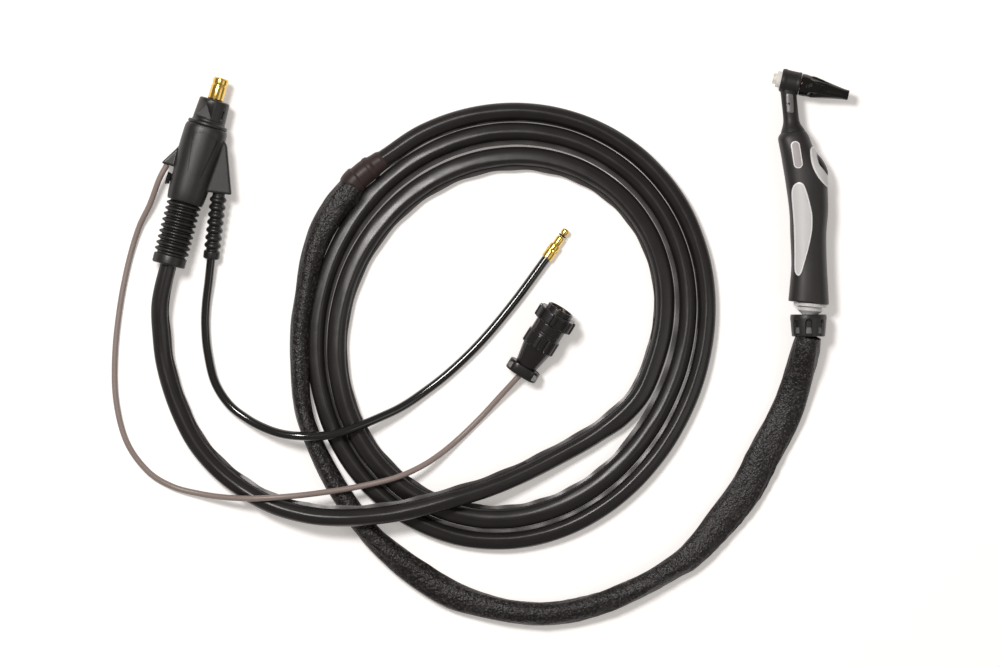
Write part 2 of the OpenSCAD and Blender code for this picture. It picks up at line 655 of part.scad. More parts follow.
module lock_knob() color("#1a1a1b") connector_plan() translate([0, knob_pos, 0]) rotate([0, 90, 0]) {
    rod(1.9, -20, -13.2);
    translate([0, 0, -21]) cylinder(r = 5.8, h = 3.9, $fn = 4);
}
module gas_outlet() color("#c79a4b") in_gas_outlet() difference() {
    rod(gas_barb_r, -14, 16);
    rod(gas_barb_r - 1, -15, 17);
}
// Boot whose pointed ribs step down to a plain collar, along -Z of its frame
module ribbed_boot(d, core, collar, collar_l, length, ribs, bore) {
    pitch = (length - collar_l - 1) / ribs;
    rotate_extrude() polygon(concat([[bore, 0], [core / 2, 0]],
        [for (i = [0:ribs - 1]) each [[core / 2, -0.6 - i * pitch], [d / 2, -0.6 - (i + 0.35) * pitch],
            [d / 2, -0.6 - (i + 0.55) * pitch], [core / 2, -0.6 - (i + 0.9) * pitch]]],
        [[core / 2, -length + collar_l], [collar / 2, -length + collar_l - 0.4],
            [collar / 2, -length + 0.8], [collar / 2 - 1, -length], [bore, -length]]));
}
module main_boot() color("#1b1b1c") difference() {
    along(boot_p, boot_dir) union() {
        ribbed_boot(boot_d, boot_d - 6.4, 28.7, 9, boot_l, boot_ribs, 6);
        translate([0, 0, -1]) difference() {
            rod(14.4, 0, 4);
            rod(6, -1, 5);
        }
    }
    in_connector() rod(40, body_end, 20);
}
module gas_boot() color("#1b1b1c") difference() {
    in_gas_outlet() union() {
        ribbed_boot(gas_boot_d, 9.5, 14, 7.5, gas_boot_l, gas_boot_ribs, gas_barb_r + fit_gap);
        difference() {
            rod(6.4, -0.6, 3);
            rod(gas_barb_r + fit_gap, -1, 4);
        }
    }
    connector_plan() slab(gas_fin, 40);
}

/* -------- gas plug -------- */
ferrule_l = 14;
stem_l = 8;
module in_gas_plug() { along(gas_plug_p, gas_plug_dir) children(); }
module gas_ferrule() color("#c79a4b") in_gas_plug() difference() {
    rod(ferrule_d / 2, 0, ferrule_l);
    rod(gas_tail_r + fit_gap, -1, ferrule_l + 1);
    for (i = [0:5]) rotate([0, 0, 60 * i + 30]) translate([ferrule_d / 2 + 1.2, 0, 8.5]) sphere(2);
}
gas_tail_r = 2.6;
module gas_plug() color("#c79a4b") in_gas_plug() difference() {
    union() {
        rod(gas_tail_r, 2, ferrule_l + 1);
        rod(gas_stem_d / 2, ferrule_l + 0.05, ferrule_l + stem_l);
        rod(2.15, ferrule_l, ferrule_l + stem_l + 4);
        rod(3.3, ferrule_l + stem_l + 3.2, ferrule_l + stem_l + 7.2);
        taper(3.3, 2.6, ferrule_l + stem_l + 7.2, ferrule_l + stem_l + 8);
    }
    rod(1.4, 0, 40);
}
module plug_oring() color("#262626") in_gas_plug() translate([0, 0, ferrule_l + stem_l + 1.6])
    rotate_extrude() translate([2.85, 0]) circle(0.65);

/* -------- control plug -------- */
clamp_l = 9.5;
cone_end = 27.7;
grip_end = 40;
shell_end = 66.8;
grip_d = 29.6;
backshell_bore = 7;
module in_plug() { along(plug_p, plug_dir, plug_pitch) children(); }
clamp_screw_y = clamp_w / 2 - 4;
module cable_clamp() color("#1c1c1c") in_plug() difference() {
    linear_extrude(height = clamp_l) union() {
        square([clamp_h, clamp_w - clamp_h], center = true);
        for (s = [-1, 1]) translate([0, s * (clamp_w - clamp_h) / 2]) circle(clamp_h / 2);
    }
    rod(lead_d / 2 - 0.5, -1, clamp_l + 1);
    translate([-0.3, -clamp_w, -1]) cube([0.6, 2 * clamp_w, clamp_l + 2]);
    for (s = [-1, 1]) translate([-20, s * clamp_screw_y, clamp_l / 2]) rotate([0, 90, 0])
        cylinder(r = 1.6, h = 40);
    for (s = [-1, 1]) translate([6, s * clamp_screw_y, clamp_l / 2]) rotate([0, 90, 0])
        cylinder(r = 2.9, h = 10);
}
module clamp_screws() color("#a3a5a7") in_plug() for (s = [-1, 1])
    translate([0, s * clamp_screw_y, clamp_l / 2]) rotate([0, 90, 0]) {
        rod(1.55, -7, 6.1);
        rod(2.8, 6.1, 8.2);
    }
module plug_backshell() color("#1c1c1c") in_plug() difference() {
    union() {
        taper(9.5, 13.25, clamp_l, cone_end);
        rod(grip_d / 2, cone_end, grip_end);
        rod(13.5, grip_end, ring_at - run_gap);
    }
    rod(backshell_bore, clamp_l - 1, ring_at - 6);
    rod(barrel_d / 2 - 0.6, ring_at - 8, ring_at + 1);
    for (i = [0:15]) rotate([0, 0, 22.5 * i]) translate([grip_d / 2 + 0.6, 0, 0])
        rod(1.7, cone_end + 1.4, grip_end - 1);
}
module coupling_ring() color("#1c1c1c") in_plug() difference() {
    rod(ring_d / 2, ring_at, ring_at + ring_l);
    rod(barrel_d / 2 + run_gap, ring_at - 1, ring_at + ring_l + 1);
    for (i = [0:ring_lugs - 1]) rotate([0, 0, (i + 0.5) * 360 / ring_lugs])
        translate([ring_d / 2 - 1.7, -2.2, ring_at + 2]) cube([5, 4.4, ring_l]);
}
module plug_shell() color("#202020") in_plug() difference() {
    union() {
        rod(barrel_d / 2 - 0.65, ring_at - 7.9, ring_at - run_gap);
        rod(barrel_d / 2, ring_at - run_gap, shell_end);
        rod(barrel_d / 2 + 0.8, ring_at + ring_l + run_gap, ring_at + ring_l + 1.2);
    }
    rod(insert_r + fit_gap, ring_at - 9, shell_end + 1);
}
insert_r = 9.9;
contact_places = concat([for (i = [0:9]) 7.2 * [cos(36 * i), sin(36 * i)]],
    [for (i = [0:3]) 3.2 * [cos(90 * i + 18), sin(90 * i + 18)]]);
module plug_insert() color("#3b3d40") in_plug() difference() {
    rod(insert_r, ring_at - 4, shell_end - 8);
    for (p = contact_places) translate(p) rod(0.8 + fit_gap, ring_at - 6, shell_end);
}
module contact_pins() color("#c79a4b") in_plug() for (p = contact_places) translate(p)
    rod(0.8, ring_at - 5, shell_end - 1.6);

head_cover();
head_core();
neck_tube();
insulator_ring();
collet_body();
collet();
back_cap();
cap_oring();
neck_plate();
neck_rivet();
handle_shell_upper();
handle_shell_lower();
inlay_upper();
badge_upper();
trigger_bezel();
trigger_button();
trigger_spring();
micro_switch();
handle_screws();
power_hose();
ball_neck();
ball_seat();
ball_race();
swivel_nut();
leather_sleeve();
sleeve_joint();
sheath_coil();
sheath_run();
main_boot();
connector_shell_upper();
connector_shell_lower();
connector_nose();
power_pin();
cable_crimp();
shell_screws();
lock_knob();
gas_outlet();
gas_boot();
gas_hose();
gas_ferrule();
gas_plug();
plug_oring();
control_lead();
cable_clamp();
clamp_screws();
plug_backshell();
coupling_ring();
plug_shell();
plug_insert();
contact_pins();
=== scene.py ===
"""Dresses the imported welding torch: its finishes, its detailed pieces and its cables.

Local shapes are drawn in millimetres in the frame of their own assembly, and are placed in the
row frame, in metres, when a piece is finished.
"""

from __future__ import annotations

import json
import logging
import math
from collections.abc import Callable, Iterator, Sequence
from dataclasses import dataclass
from enum import Enum

import bmesh
import bpy
from mathutils import Matrix, Vector, noise
from mathutils.kdtree import KDTree

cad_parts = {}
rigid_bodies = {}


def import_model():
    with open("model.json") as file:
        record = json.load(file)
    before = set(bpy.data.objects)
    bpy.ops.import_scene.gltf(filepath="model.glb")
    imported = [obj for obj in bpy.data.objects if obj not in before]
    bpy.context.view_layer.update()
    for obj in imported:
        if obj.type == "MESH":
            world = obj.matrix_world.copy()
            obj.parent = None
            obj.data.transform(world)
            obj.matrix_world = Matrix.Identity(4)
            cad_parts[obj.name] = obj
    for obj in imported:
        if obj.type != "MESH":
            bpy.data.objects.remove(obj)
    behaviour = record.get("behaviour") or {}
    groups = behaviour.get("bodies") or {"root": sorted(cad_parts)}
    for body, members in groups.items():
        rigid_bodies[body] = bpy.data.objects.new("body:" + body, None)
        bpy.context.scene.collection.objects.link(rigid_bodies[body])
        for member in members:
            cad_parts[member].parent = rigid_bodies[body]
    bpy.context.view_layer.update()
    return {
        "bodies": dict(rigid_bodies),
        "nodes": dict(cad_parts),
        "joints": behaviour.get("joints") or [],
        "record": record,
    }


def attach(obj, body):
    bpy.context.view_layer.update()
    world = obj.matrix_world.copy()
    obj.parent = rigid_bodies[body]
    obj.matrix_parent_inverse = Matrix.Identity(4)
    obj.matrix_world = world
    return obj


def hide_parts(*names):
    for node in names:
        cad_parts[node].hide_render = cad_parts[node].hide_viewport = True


LOG = logging.getLogger("torch")
MM = 0.001
BENCH_Z = -0.0002  # The bench's top in metres, just under everything that lies on it.
MERGE = 1e-5  # Corners nearer than this become one, in mm.
LATHE_MERGE = 1e-4  # The same for the seam of a spun profile.

Point = tuple[float, float]
Socket = bpy.types.NodeSocket


class Pattern(Enum):
    """How the surface of a finish is broken up."""

    MOULDED = "moulded"
    SOFT_TOUCH = "soft_touch"
    LEATHER = "leather"
    SHEATH = "sheath"
    TURNED = "turned"
    BRUSHED = "brushed"
    REINFORCED = "reinforced"


class Expr:
    """A shader value that can be written in plain arithmetic."""

    def __init__(self, graph: Graph, socket: Socket) -> None:
        """Keeps the graph and the output socket that holds the value."""
        self.graph = graph
        self.socket = socket

    def _math(self, operation: str, a: Expr | float, b: Expr | float) -> Expr:
        """Adds one Math node to two values and returns its result."""
        node = self.graph.add("ShaderNodeMath", {"operation": operation}, {0: a, 1: b})
        return Expr(self.graph, node.outputs[0])

    def __add__(self, other: Expr | float) -> Expr:
        """Returns this plus other."""
        return self._math("ADD", self, other)

    def __radd__(self, other: float) -> Expr:
        """Returns other plus this."""
        return self._math("ADD", other, self)

    def __rsub__(self, other: float) -> Expr:
        """Returns other minus this."""
        return self._math("SUBTRACT", other, self)

    def __mul__(self, other: Expr | float) -> Expr:
        """Returns this times other."""
        return self._math("MULTIPLY", self, other)

    def sine(self) -> Expr:
        """Returns the sine of this, in radians."""
        return self._math("SINE", self, 0.0)

    def ramp(self, low: float, high: float) -> Expr:
        """Maps low to 0 and high to 1, clamped between them.

        Args:
            low: The value that becomes 0.
            high: The value that becomes 1.

        Returns:
            The mapped value.
        """
        node = self.graph.add(
            "ShaderNodeMapRange", {"clamp": True}, {0: self, 1: low, 2: high, 3: 0.0, 4: 1.0}
        )
        return Expr(self.graph, node.outputs[0])


class Graph:
    """The node tree of one material."""

    def __init__(self, name: str) -> None:
        """Makes a material with an empty Principled surface.

        Args:
            name: The material's name.
        """
        self.material = bpy.data.materials.new(name)
        self.material.use_nodes = True
        self.tree = self.material.node_tree
        self.tree.nodes.clear()
        self.output = self.tree.nodes.new("ShaderNodeOutputMaterial")
        self.surface = self.tree.nodes.new("ShaderNodeBsdfPrincipled")
        self.tree.links.new(self.surface.outputs[0], self.output.inputs[0])

    def add(self, kind: str, settings: dict, values: dict) -> bpy.types.Node:
        """Adds a node.

        Args:
            kind: The node's type.
            settings: Its properties, such as an operation, set first.
            values: Its inputs, by name or index, as numbers, sockets or expressions.

        Returns:
            The new node.
        """
        node = self.tree.nodes.new(kind)
        for key, value in settings.items():
            setattr(node, key, value)
        for key, value in values.items():
            self.put(node.inputs[key], value)
        return node

    def put(self, target: Socket, value: object) -> None:
        """Links an expression or a socket to an input, or sets the input's own number.

        Args:
            target: The input.
            value: An expression, a socket or a number.
        """
        if isinstance(value, Expr):
            value = value.socket
        if isinstance(value, bpy.types.NodeSocket):
            self.tree.links.new(value, target)
        else:
            target.default_value = value

    def place(self, stretch: tuple[float, float, float] = (1.0, 1.0, 1.0)) -> Socket:
        """Returns Object coordinates, stretched.

        Args:
            stretch: The scale along each axis.

        Returns:
            The coordinates.
        """
        coords = self.add("ShaderNodeTexCoord", {}, {})
        mapped = self.add("ShaderNodeMapping", {}, {0: coords.outputs["Object"], 3: stretch})
        return mapped.outputs[0]

    def attribute(self, name: str) -> Expr:
        """Returns a number stored on the mesh."""
        node = self.add("ShaderNodeAttribute", {"attribute_name": name}, {})
        return Expr(self, node.outputs["Fac"])

    def noise(self, at: Socket, scale: float, detail: float = 3.0) -> Expr:
        """Returns noise from 0 to 1, with a scale in waves to the metre and some octaves."""
        node = self.add("ShaderNodeTexNoise", {}, {0: at, "Scale": scale, "Detail": detail})
        return Expr(self, node.outputs[0])

    def cells(self, at: Socket, scale: float) -> Expr:
        """Returns the distance to the nearest of many scattered points."""
        node = self.add("ShaderNodeTexVoronoi", {"feature": "F1"}, {0: at, "Scale": scale})
        return Expr(self, node.outputs[0])

    def mix(self, factor: Expr, a: Sequence[float], b: Sequence[float]) -> Socket:
        """Returns a colour between a and b.

        Args:
            factor: The share of b.
            a: One colour.
            b: The other colour.

        Returns:
            The mixed colour.
        """
        node = self.add("ShaderNodeMix", {"data_type": "RGBA"}, {0: factor})
        node.inputs[6].default_value = (*a, 1.0)
        node.inputs[7].default_value = (*b, 1.0)
        return node.outputs[2]

    def bump(self, height: Expr, strength: float, distance: float) -> Socket:
        """Returns a normal bent by a height in units of distance, in metres.

        Args:
            height: The height.
            strength: The share of the effect.
            distance: The height that 1 stands for, in metres.

        Returns:
            The normal.
        """
        node = self.add(
            "ShaderNodeBump", {}, {"Height": height, "Strength": strength, "Distance": distance}
        )
        return node.outputs[0]


SHEATH_SIDES = 48
LOFT_SIDES = 72
# Waves to the metre of the finishes' patterns.
BROAD_WAVES = 60.0
CREASE_WAVES = 260.0
DENT_WAVES = 38.0
BEAD_WAVES = 2600.0
RING_WAVES = 9000.0
COAT_ROUGHNESS = 0.12


@dataclass(frozen=True)
class Finish:
    """One surface finish of the torch."""

    name: str
    low: tuple[float, float, float]
    high: tuple[float, float, float]
    rough: tuple[float, float]
    pattern: Pattern = Pattern.MOULDED
    metallic: float = 0.0
    coat: float = 0.0
    grain: float = 2600.0
    bump: float = 0.25
    depth: float = 0.00006
    specular: float = 0.5

    def material(self) -> bpy.types.Material:
        """Returns this finish's material, made once."""
        found = bpy.data.materials.get(f"{self.name}_look")
        return found or self._build()

    def _build(self) -> bpy.types.Material:
        """Builds the node tree of this finish.

        Returns:
            The new material.
        """
        g = Graph(f"{self.name}_look")
        at = g.place()
        broad = g.noise(at, BROAD_WAVES, 4.0)
        fine = g.noise(at, self.grain, 2.0)
        tone, height = self._patterned(g, at, broad, fine)
        low, high = self.rough
        g.put(g.surface.inputs["Base Color"], g.mix(tone, self.low, self.high))
        wear = (broad * 0.5 + fine * 0.5).ramp(0.3, 0.7)
        g.put(g.surface.inputs["Roughness"], wear * (high - low) + low)
        g.put(g.surface.inputs["Metallic"], self.metallic)
        g.put(g.surface.inputs["Specular IOR Level"], self.specular)
        g.put(g.surface.inputs["Coat Weight"], self.coat)
        g.put(g.surface.inputs["Coat Roughness"], COAT_ROUGHNESS)
        g.put(g.surface.inputs["Normal"], g.bump(height, self.bump, self.depth))
        return g.material

    def _patterned(self, g: Graph, at: Socket, broad: Expr, fine: Expr) -> tuple[Expr, Expr]:
        """Returns the tone and the height of this finish's pattern.

        Args:
            g: The material's graph.
            at: Object coordinates.
            broad: Slow noise.
            fine: Noise at the finish's own grain.

        Returns:
            Tone and height, each from about 0 to 1.
        """
        if self.pattern is Pattern.LEATHER:
            pebble = g.cells(at, self.grain).ramp(0.05, 0.75)
            crease = g.noise(at, CREASE_WAVES, 5.0).ramp(0.35, 0.65)
            # The grain's light specks are painted highlight: light glinting off the pebbles, put
            # into the colour.
            painted_speck_highlight = (1.0 - pebble) * fine.ramp(0.48, 0.70)
            return painted_speck_highlight * 0.8 + broad.ramp(0.55, 0.8) * 0.2, pebble * 0.7 + crease * 0.9
        if self.pattern is Pattern.SHEATH:
            along = g.attribute("along")
            around = g.attribute("around")
            lines = g.add("ShaderNodeCombineXYZ", {}, {0: along * 9.0, 1: around * 160.0, 2: 0.0})
            streak = g.noise(lines.outputs[0], 1.0, 3.0)
            dent = g.noise(at, DENT_WAVES, 2.0)
            # The fin's lighter grey is painted sheen: it stands in for light on the fin's flat
            # upper face, varied at random by broad noise.
            edge = (1.0 - around * SHEATH_SIDES).ramp(0.0, 1.0)
            skin = (streak.ramp(0.4, 0.75) * 0.6 + broad * 0.3) * 0.11
            return skin + edge * (0.14 + broad * 0.24), dent * 1.5 + streak * 0.1
        if self.pattern is Pattern.REINFORCED:
            beads = (g.attribute("along") * BEAD_WAVES).sine() * 0.5 + 0.5
            return broad, beads * 0.8 + fine * 0.2
        if self.pattern is Pattern.TURNED:
            rings = (g.attribute("along") * RING_WAVES).sine() * 0.5 + 0.5
            return broad.ramp(0.35, 0.7), rings * 0.3 + fine * 0.3
        if self.pattern is Pattern.BRUSHED:
            lines = g.noise(g.place((8.0, 0.6, 8.0)), 900.0, 2.0)
            return lines.ramp(0.3, 0.7), lines
        if self.pattern is Pattern.SOFT_TOUCH:
            speck = g.cells(at, self.grain).ramp(0.0, 0.6)
            return fine.ramp(0.45, 0.75) * 0.7 + broad * 0.3, speck * 0.6 + fine * 0.5
        return fine.ramp(0.4, 0.7) * 0.5 + broad * 0.5, fine


GRIP = Finish("grip_rubber", (0.012, 0.0105, 0.010), (0.034, 0.031, 0.030), (0.40, 0.54),
              Pattern.SOFT_TOUCH, grain=2200.0, bump=0.45)
HEAD = Finish("head_rubber", (0.012, 0.0108, 0.0108), (0.031, 0.028, 0.028), (0.40, 0.56),
              Pattern.SOFT_TOUCH, grain=2400.0, bump=0.45, specular=0.35)
LENS = Finish("trigger_gloss", (0.004, 0.0037, 0.0037), (0.009, 0.008, 0.008), (0.16, 0.26),
              specular=0.05)
CAP = Finish("cap_gloss", (0.003, 0.0027, 0.0026), (0.006, 0.0053, 0.005), (0.10, 0.18),
             grain=900.0, bump=0.03)
# Brass painted a pale cream: painted glare that stands in for strong light washing out the collet
# body.
GLARE_PALE_BRASS = Finish("brass_painted_glare", (0.88, 0.84, 0.73), (0.93, 0.90, 0.81), (0.3, 0.45), metallic=0.3,
              grain=1200.0, bump=0.1)
WHITE = Finish("insulator_glaze", (0.84, 0.83, 0.80), (0.90, 0.89, 0.87), (0.18, 0.3),
               grain=1200.0, bump=0.1)
TRIM = Finish("trim_light", (0.60, 0.60, 0.60), (0.68, 0.68, 0.68), (0.32, 0.45), grain=2400.0)
TRIM_EDGE = Finish("trim_edge", (0.80, 0.80, 0.80), (0.86, 0.86, 0.86), (0.25, 0.4), grain=2400.0)
BADGE = Finish("badge_grey", (0.38, 0.352, 0.36), (0.45, 0.416, 0.427), (0.4, 0.52), grain=2400.0)
PLATE = Finish("plate_steel", (0.15, 0.147, 0.147), (0.24, 0.236, 0.236), (0.3, 0.45),
               Pattern.BRUSHED, metallic=0.6)
COPPER = Finish("turned_copper", (0.62, 0.30, 0.16), (0.74, 0.40, 0.24), (0.2, 0.35),
                Pattern.BRUSHED, metallic=1.0)
BRASS = Finish("turned_brass", (0.72, 0.47, 0.10), (0.86, 0.60, 0.18), (0.12, 0.28),
               Pattern.TURNED, metallic=1.0, bump=0.2, depth=0.00003)
STEEL = Finish("screw_steel", (0.42, 0.43, 0.44), (0.55, 0.56, 0.57), (0.25, 0.4),
               Pattern.BRUSHED, metallic=1.0)
BEARING = Finish("bearing_plastic", (0.12, 0.125, 0.13), (0.16, 0.165, 0.17), (0.4, 0.55))
OFF_BLACK = Finish("inner_plastic", (0.03, 0.032, 0.036), (0.045, 0.047, 0.052), (0.4, 0.55))
SEAL = Finish("seal_rubber", (0.012, 0.012, 0.012), (0.02, 0.02, 0.02), (0.35, 0.5))
# The leather's high colour is the painted highlight of its grain's specks, with some random patchy
# tone.
LEATHER = Finish("sleeve_leather", (0.004, 0.003, 0.003), (0.125, 0.108, 0.104), (0.33, 0.54),
                 Pattern.LEATHER, grain=520.0, bump=0.85, depth=0.0005, specular=0.45)
SHRINK = Finish("shrink_brown", (0.030, 0.019, 0.018), (0.050, 0.033, 0.031), (0.36, 0.5),
                grain=1500.0, specular=0.25)
# The sheath's high colour is mostly the fin's painted sheen, with faint random streaks along it.
SHEATH = Finish("sheath_rubber", (0.007, 0.0058, 0.0055), (0.190, 0.176, 0.176), (0.28, 0.40),
                Pattern.SHEATH, bump=0.35, depth=0.0006)
GAS = Finish("gas_hose_rubber", (0.006, 0.006, 0.006), (0.010, 0.010, 0.010), (0.10, 0.2),
             Pattern.REINFORCED, coat=0.5, bump=0.1, depth=0.00012)
LEAD = Finish("lead_taupe", (0.24, 0.19, 0.17), (0.31, 0.25, 0.23), (0.32, 0.45), grain=1800.0)
SHELL = Finish("connector_moulding", (0.010, 0.009, 0.009), (0.026, 0.024, 0.023), (0.34, 0.48),
               Pattern.SOFT_TOUCH, grain=2000.0, bump=0.5)
BOOT = Finish("boot_rubber", (0.008, 0.0075, 0.007), (0.016, 0.015, 0.014), (0.32, 0.46),
              grain=2000.0)
PLUG = Finish("plug_moulding", (0.009, 0.008, 0.008), (0.018, 0.016, 0.016), (0.20, 0.34),
              grain=2400.0)
INNER = Finish("inner_hose", (0.06, 0.045, 0.036), (0.09, 0.07, 0.06), (0.45, 0.6))
BRASS_PLAIN = Finish("plain_brass", (0.72, 0.47, 0.10), (0.86, 0.60, 0.18), (0.14, 0.3),
                     metallic=1.0, grain=1400.0, bump=0.08, depth=0.00003)


def frame_at(origin: Sequence[float], heading: float, pitch: float = 0.0) -> Matrix:
    """Returns the frame with +Z along a heading, +X up and +Y to the right.

    Args:
        origin: Its place in the row frame, in mm.
        heading: The plan angle of +Z from the row's +X, in degrees.
        pitch: How far +Z rises from the bench, in degrees.

    Returns:
        The frame as a matrix in mm.
    """
    turn = Matrix.Rotation(math.radians(heading), 4, "Z")
    rise = Matrix.Rotation(math.radians(90.0 - pitch), 4, "Y")
    return Matrix.Translation(origin) @ turn @ rise @ Matrix.Rotation(math.pi, 4, "Z")


def plan_frame(origin: Sequence[float], heading: float) -> Matrix:
    """Returns the frame with +Y along a heading in plan, +X to its right and +Z up."""
    return Matrix.Translation(origin) @ Matrix.Rotation(math.radians(heading - 90.0), 4, "Z")


def plan_dir(heading: float, pitch: float = 0.0) -> Vector:
    """Returns the unit vector along a heading in plan, raised by pitch, both in degrees."""
    a, p = math.radians(heading), math.radians(pitch)
    return Vector((math.cos(a) * math.cos(p), math.sin(a) * math.cos(p), math.sin(p)))


def shade(bm: bmesh.types.BMesh, smooth_deg: float) -> None:
    """Shades a mesh smooth, apart from its edges sharper than an angle.

    Args:
        bm: The mesh.
        smooth_deg: The angle, in degrees.
    """
    limit = math.radians(smooth_deg)
    for face in bm.faces:
        face.smooth = True
    for edge in bm.edges:
        edge.smooth = not (edge.is_manifold and edge.calc_face_angle(0.0) > limit)


def close_rims(bm: bmesh.types.BMesh) -> None:
    """Fills every open rim of a mesh.

    Args:
        bm: The mesh.
    """
    rims = [e for e in bm.edges if e.is_boundary]
    if rims:
        bmesh.ops.holes_fill(bm, edges=rims, sides=0)


def bevel(bm: bmesh.types.BMesh, edges: Sequence[bmesh.types.BMEdge], width: float,
          segments: int) -> None:
    """Rounds some edges by a width in the mesh's own unit."""
    bmesh.ops.bevel(bm, geom=edges, offset=width, segments=segments, profile=0.5,
                    affect="EDGES", material=-1, clamp_overlap=True)


def finish_piece(bm: bmesh.types.BMesh, name: str, finish: Finish, frame: Matrix | None = None,
                 smooth_deg: float = 38.0) -> bpy.types.Object:
    """Turns a modelled mesh into an object in the row frame.

    Args:
        bm: The mesh, in mm in its own frame. It is freed.
        name: The piece's name.
        finish: Its finish.
        frame: The frame that it is drawn in, or None for the row's.
        smooth_deg: Edges sharper than this stay sharp.

    Returns:
        The new object, at the origin, with its place in its mesh.
    """
    bmesh.ops.remove_doubles(bm, verts=bm.verts, dist=MERGE)
    bmesh.ops.recalc_face_normals(bm, faces=bm.faces)
    bm.transform(Matrix.Scale(MM, 4) @ (frame or Matrix.Identity(4)))
    shade(bm, smooth_deg)
    mesh = bpy.data.meshes.new(name)
    bm.to_mesh(mesh)
    bm.free()
    piece = bpy.data.objects.new(name, mesh)
    bpy.context.scene.collection.objects.link(piece)
    mesh.materials.append(finish.material())
    LOG.info("made %s: %d faces", name, len(mesh.polygons))
    return piece


def apply_modifiers(piece: bpy.types.Object) -> None:
    """Applies every modifier of a piece and keeps its material slots.

    Args:
        piece: The piece.
    """
    graph = bpy.context.evaluated_depsgraph_get()
    mesh = bpy.data.meshes.new_from_object(piece.evaluated_get(graph))
    old = piece.data
    piece.modifiers.clear()
    piece.data = mesh
    bpy.data.meshes.remove(old)


def remesh(piece: bpy.types.Object, voxel: float, relax: int = 6) -> None:
    """Melts a piece's crossing solids into one skin with softly blended corners.

    Args:
        piece: The piece.
        voxel: The grid's step, in mm.
        relax: Passes of smoothing.
    """
    grid = piece.modifiers.new("melt", "REMESH")
    grid.mode = "VOXEL"
    grid.voxel_size = voxel * MM
    grid.use_smooth_shade = True
    soften = piece.modifiers.new("soften", "SMOOTH")
    soften.iterations = relax
    soften.factor = 0.5
    apply_modifiers(piece)
    for polygon in piece.data.polygons:
        polygon.use_smooth = True


def bevel_edges(bm: bmesh.types.BMesh, width: float, angle: float, segments: int) -> None:
    """Rounds every edge sharper than an angle in degrees, in the mesh's own unit."""
    least = math.radians(angle)
    bevel(bm, [e for e in bm.edges if e.is_manifold and e.calc_face_angle(0.0) > least],
          width, segments)


def lathe(
    profile: Sequence[Point],
    steps: int = 64,
    reshape: Callable[[float, float, float], float] | None = None,
) -> bmesh.types.BMesh:
    """Spins a profile about Z into a closed solid.

    Args:
        profile: Points (radius, z), in mm, in order along the outline.
        steps: Steps round the axis.
        reshape: A function of radius, angle and z that returns the new radius.

    Returns:
        The mesh.
    """
    bm = bmesh.new()
    verts = [bm.verts.new((r, 0.0, z)) for r, z in profile]
    edges = [bm.edges.new(pair) for pair in zip(verts, verts[1:])]
    bmesh.ops.spin(bm, geom=verts + edges, cent=(0, 0, 0), axis=(0, 0, 1), angle=math.tau,
                   steps=steps, use_merge=True)
    bmesh.ops.remove_doubles(bm, verts=bm.verts, dist=LATHE_MERGE)
    close_rims(bm)
    layer = bm.verts.layers.float.new("along")
    for v in bm.verts:
        v[layer] = v.co.z * MM
        r = math.hypot(v.co.x, v.co.y)
        if reshape and r > 1e-6:
            new = reshape(r, math.atan2(v.co.y, v.co.x), v.co.z)
            v.co.x *= new / r
            v.co.y *= new / r
    return bm


def rounded(profile: Sequence[Point], radius: float, segments: int = 3) -> list[Point]:
    """Rounds the inner corners of an open profile.

    Args:
        profile: Its points.
        radius: The rounding's reach along each side, in mm.
        segments: Chords to a corner.

    Returns:
        The rounded profile.
    """
    out: list[Point] = [profile[0]]
    for before, corner, after in zip(profile, profile[1:], profile[2:]):
        p, c, q = Vector(before), Vector(corner), Vector(after)
        reach = min(radius, (c - p).length * 0.45, (q - c).length * 0.45)
        a = c + (p - c).normalized() * reach
        b = c + (q - c).normalized() * reach
        for i in range(segments + 1):
            t = i / segments
            out.append(tuple(a * (1 - t) ** 2 + c * 2 * t * (1 - t) + b * t * t))
    out.append(profile[-1])
    return out


def dense(profile: Sequence[Point], step: float) -> list[Point]:
    """Adds points to a profile so that no side is longer than step, in mm.

    Args:
        profile: Its points.
        step: The longest side, in mm.

    Returns:
        The denser profile.
    """
    out: list[Point] = []
    for a, b in zip(profile, profile[1:]):
        count = max(1, math.ceil(math.dist(a, b) / step))
        for i in range(count):
            t = i / count
            out.append((a[0] + (b[0] - a[0]) * t, a[1] + (b[1] - a[1]) * t))
    out.append(tuple(profile[-1]))
    return out


def prism(outline: Sequence[Point], low: float, high: float) -> bmesh.types.BMesh:
    """Raises an outline in the XY plane into a solid from z = low to z = high.

    Args:
        outline: The outline, in mm.
        low: The bottom's z.
        high: The top's z.

    Returns:
        The mesh.
    """
    bm = bmesh.new()
    face = bm.faces.new([bm.verts.new((x, y, low)) for x, y in outline])
    raised = bmesh.ops.extrude_face_region(bm, geom=[face])
    top = [g for g in raised["geom"] if isinstance(g, bmesh.types.BMVert)]
    bmesh.ops.translate(bm, verts=top, vec=(0, 0, high - low))
    return bm


def box(low: Sequence[float], high: Sequence[float]) -> bmesh.types.BMesh:
    """Returns a box between two corners, in mm.

    Args:
        low: The lowest corner.
        high: The highest corner.

    Returns:
        The mesh.
    """
    bm = bmesh.new()
    bmesh.ops.create_cube(bm, size=1.0)
    middle = [(a + b) / 2 for a, b in zip(low, high)]
    size = [b - a for a, b in zip(low, high)]
    bm.transform(Matrix.Translation(middle) @ Matrix.Diagonal((*size, 1.0)))
    return bm


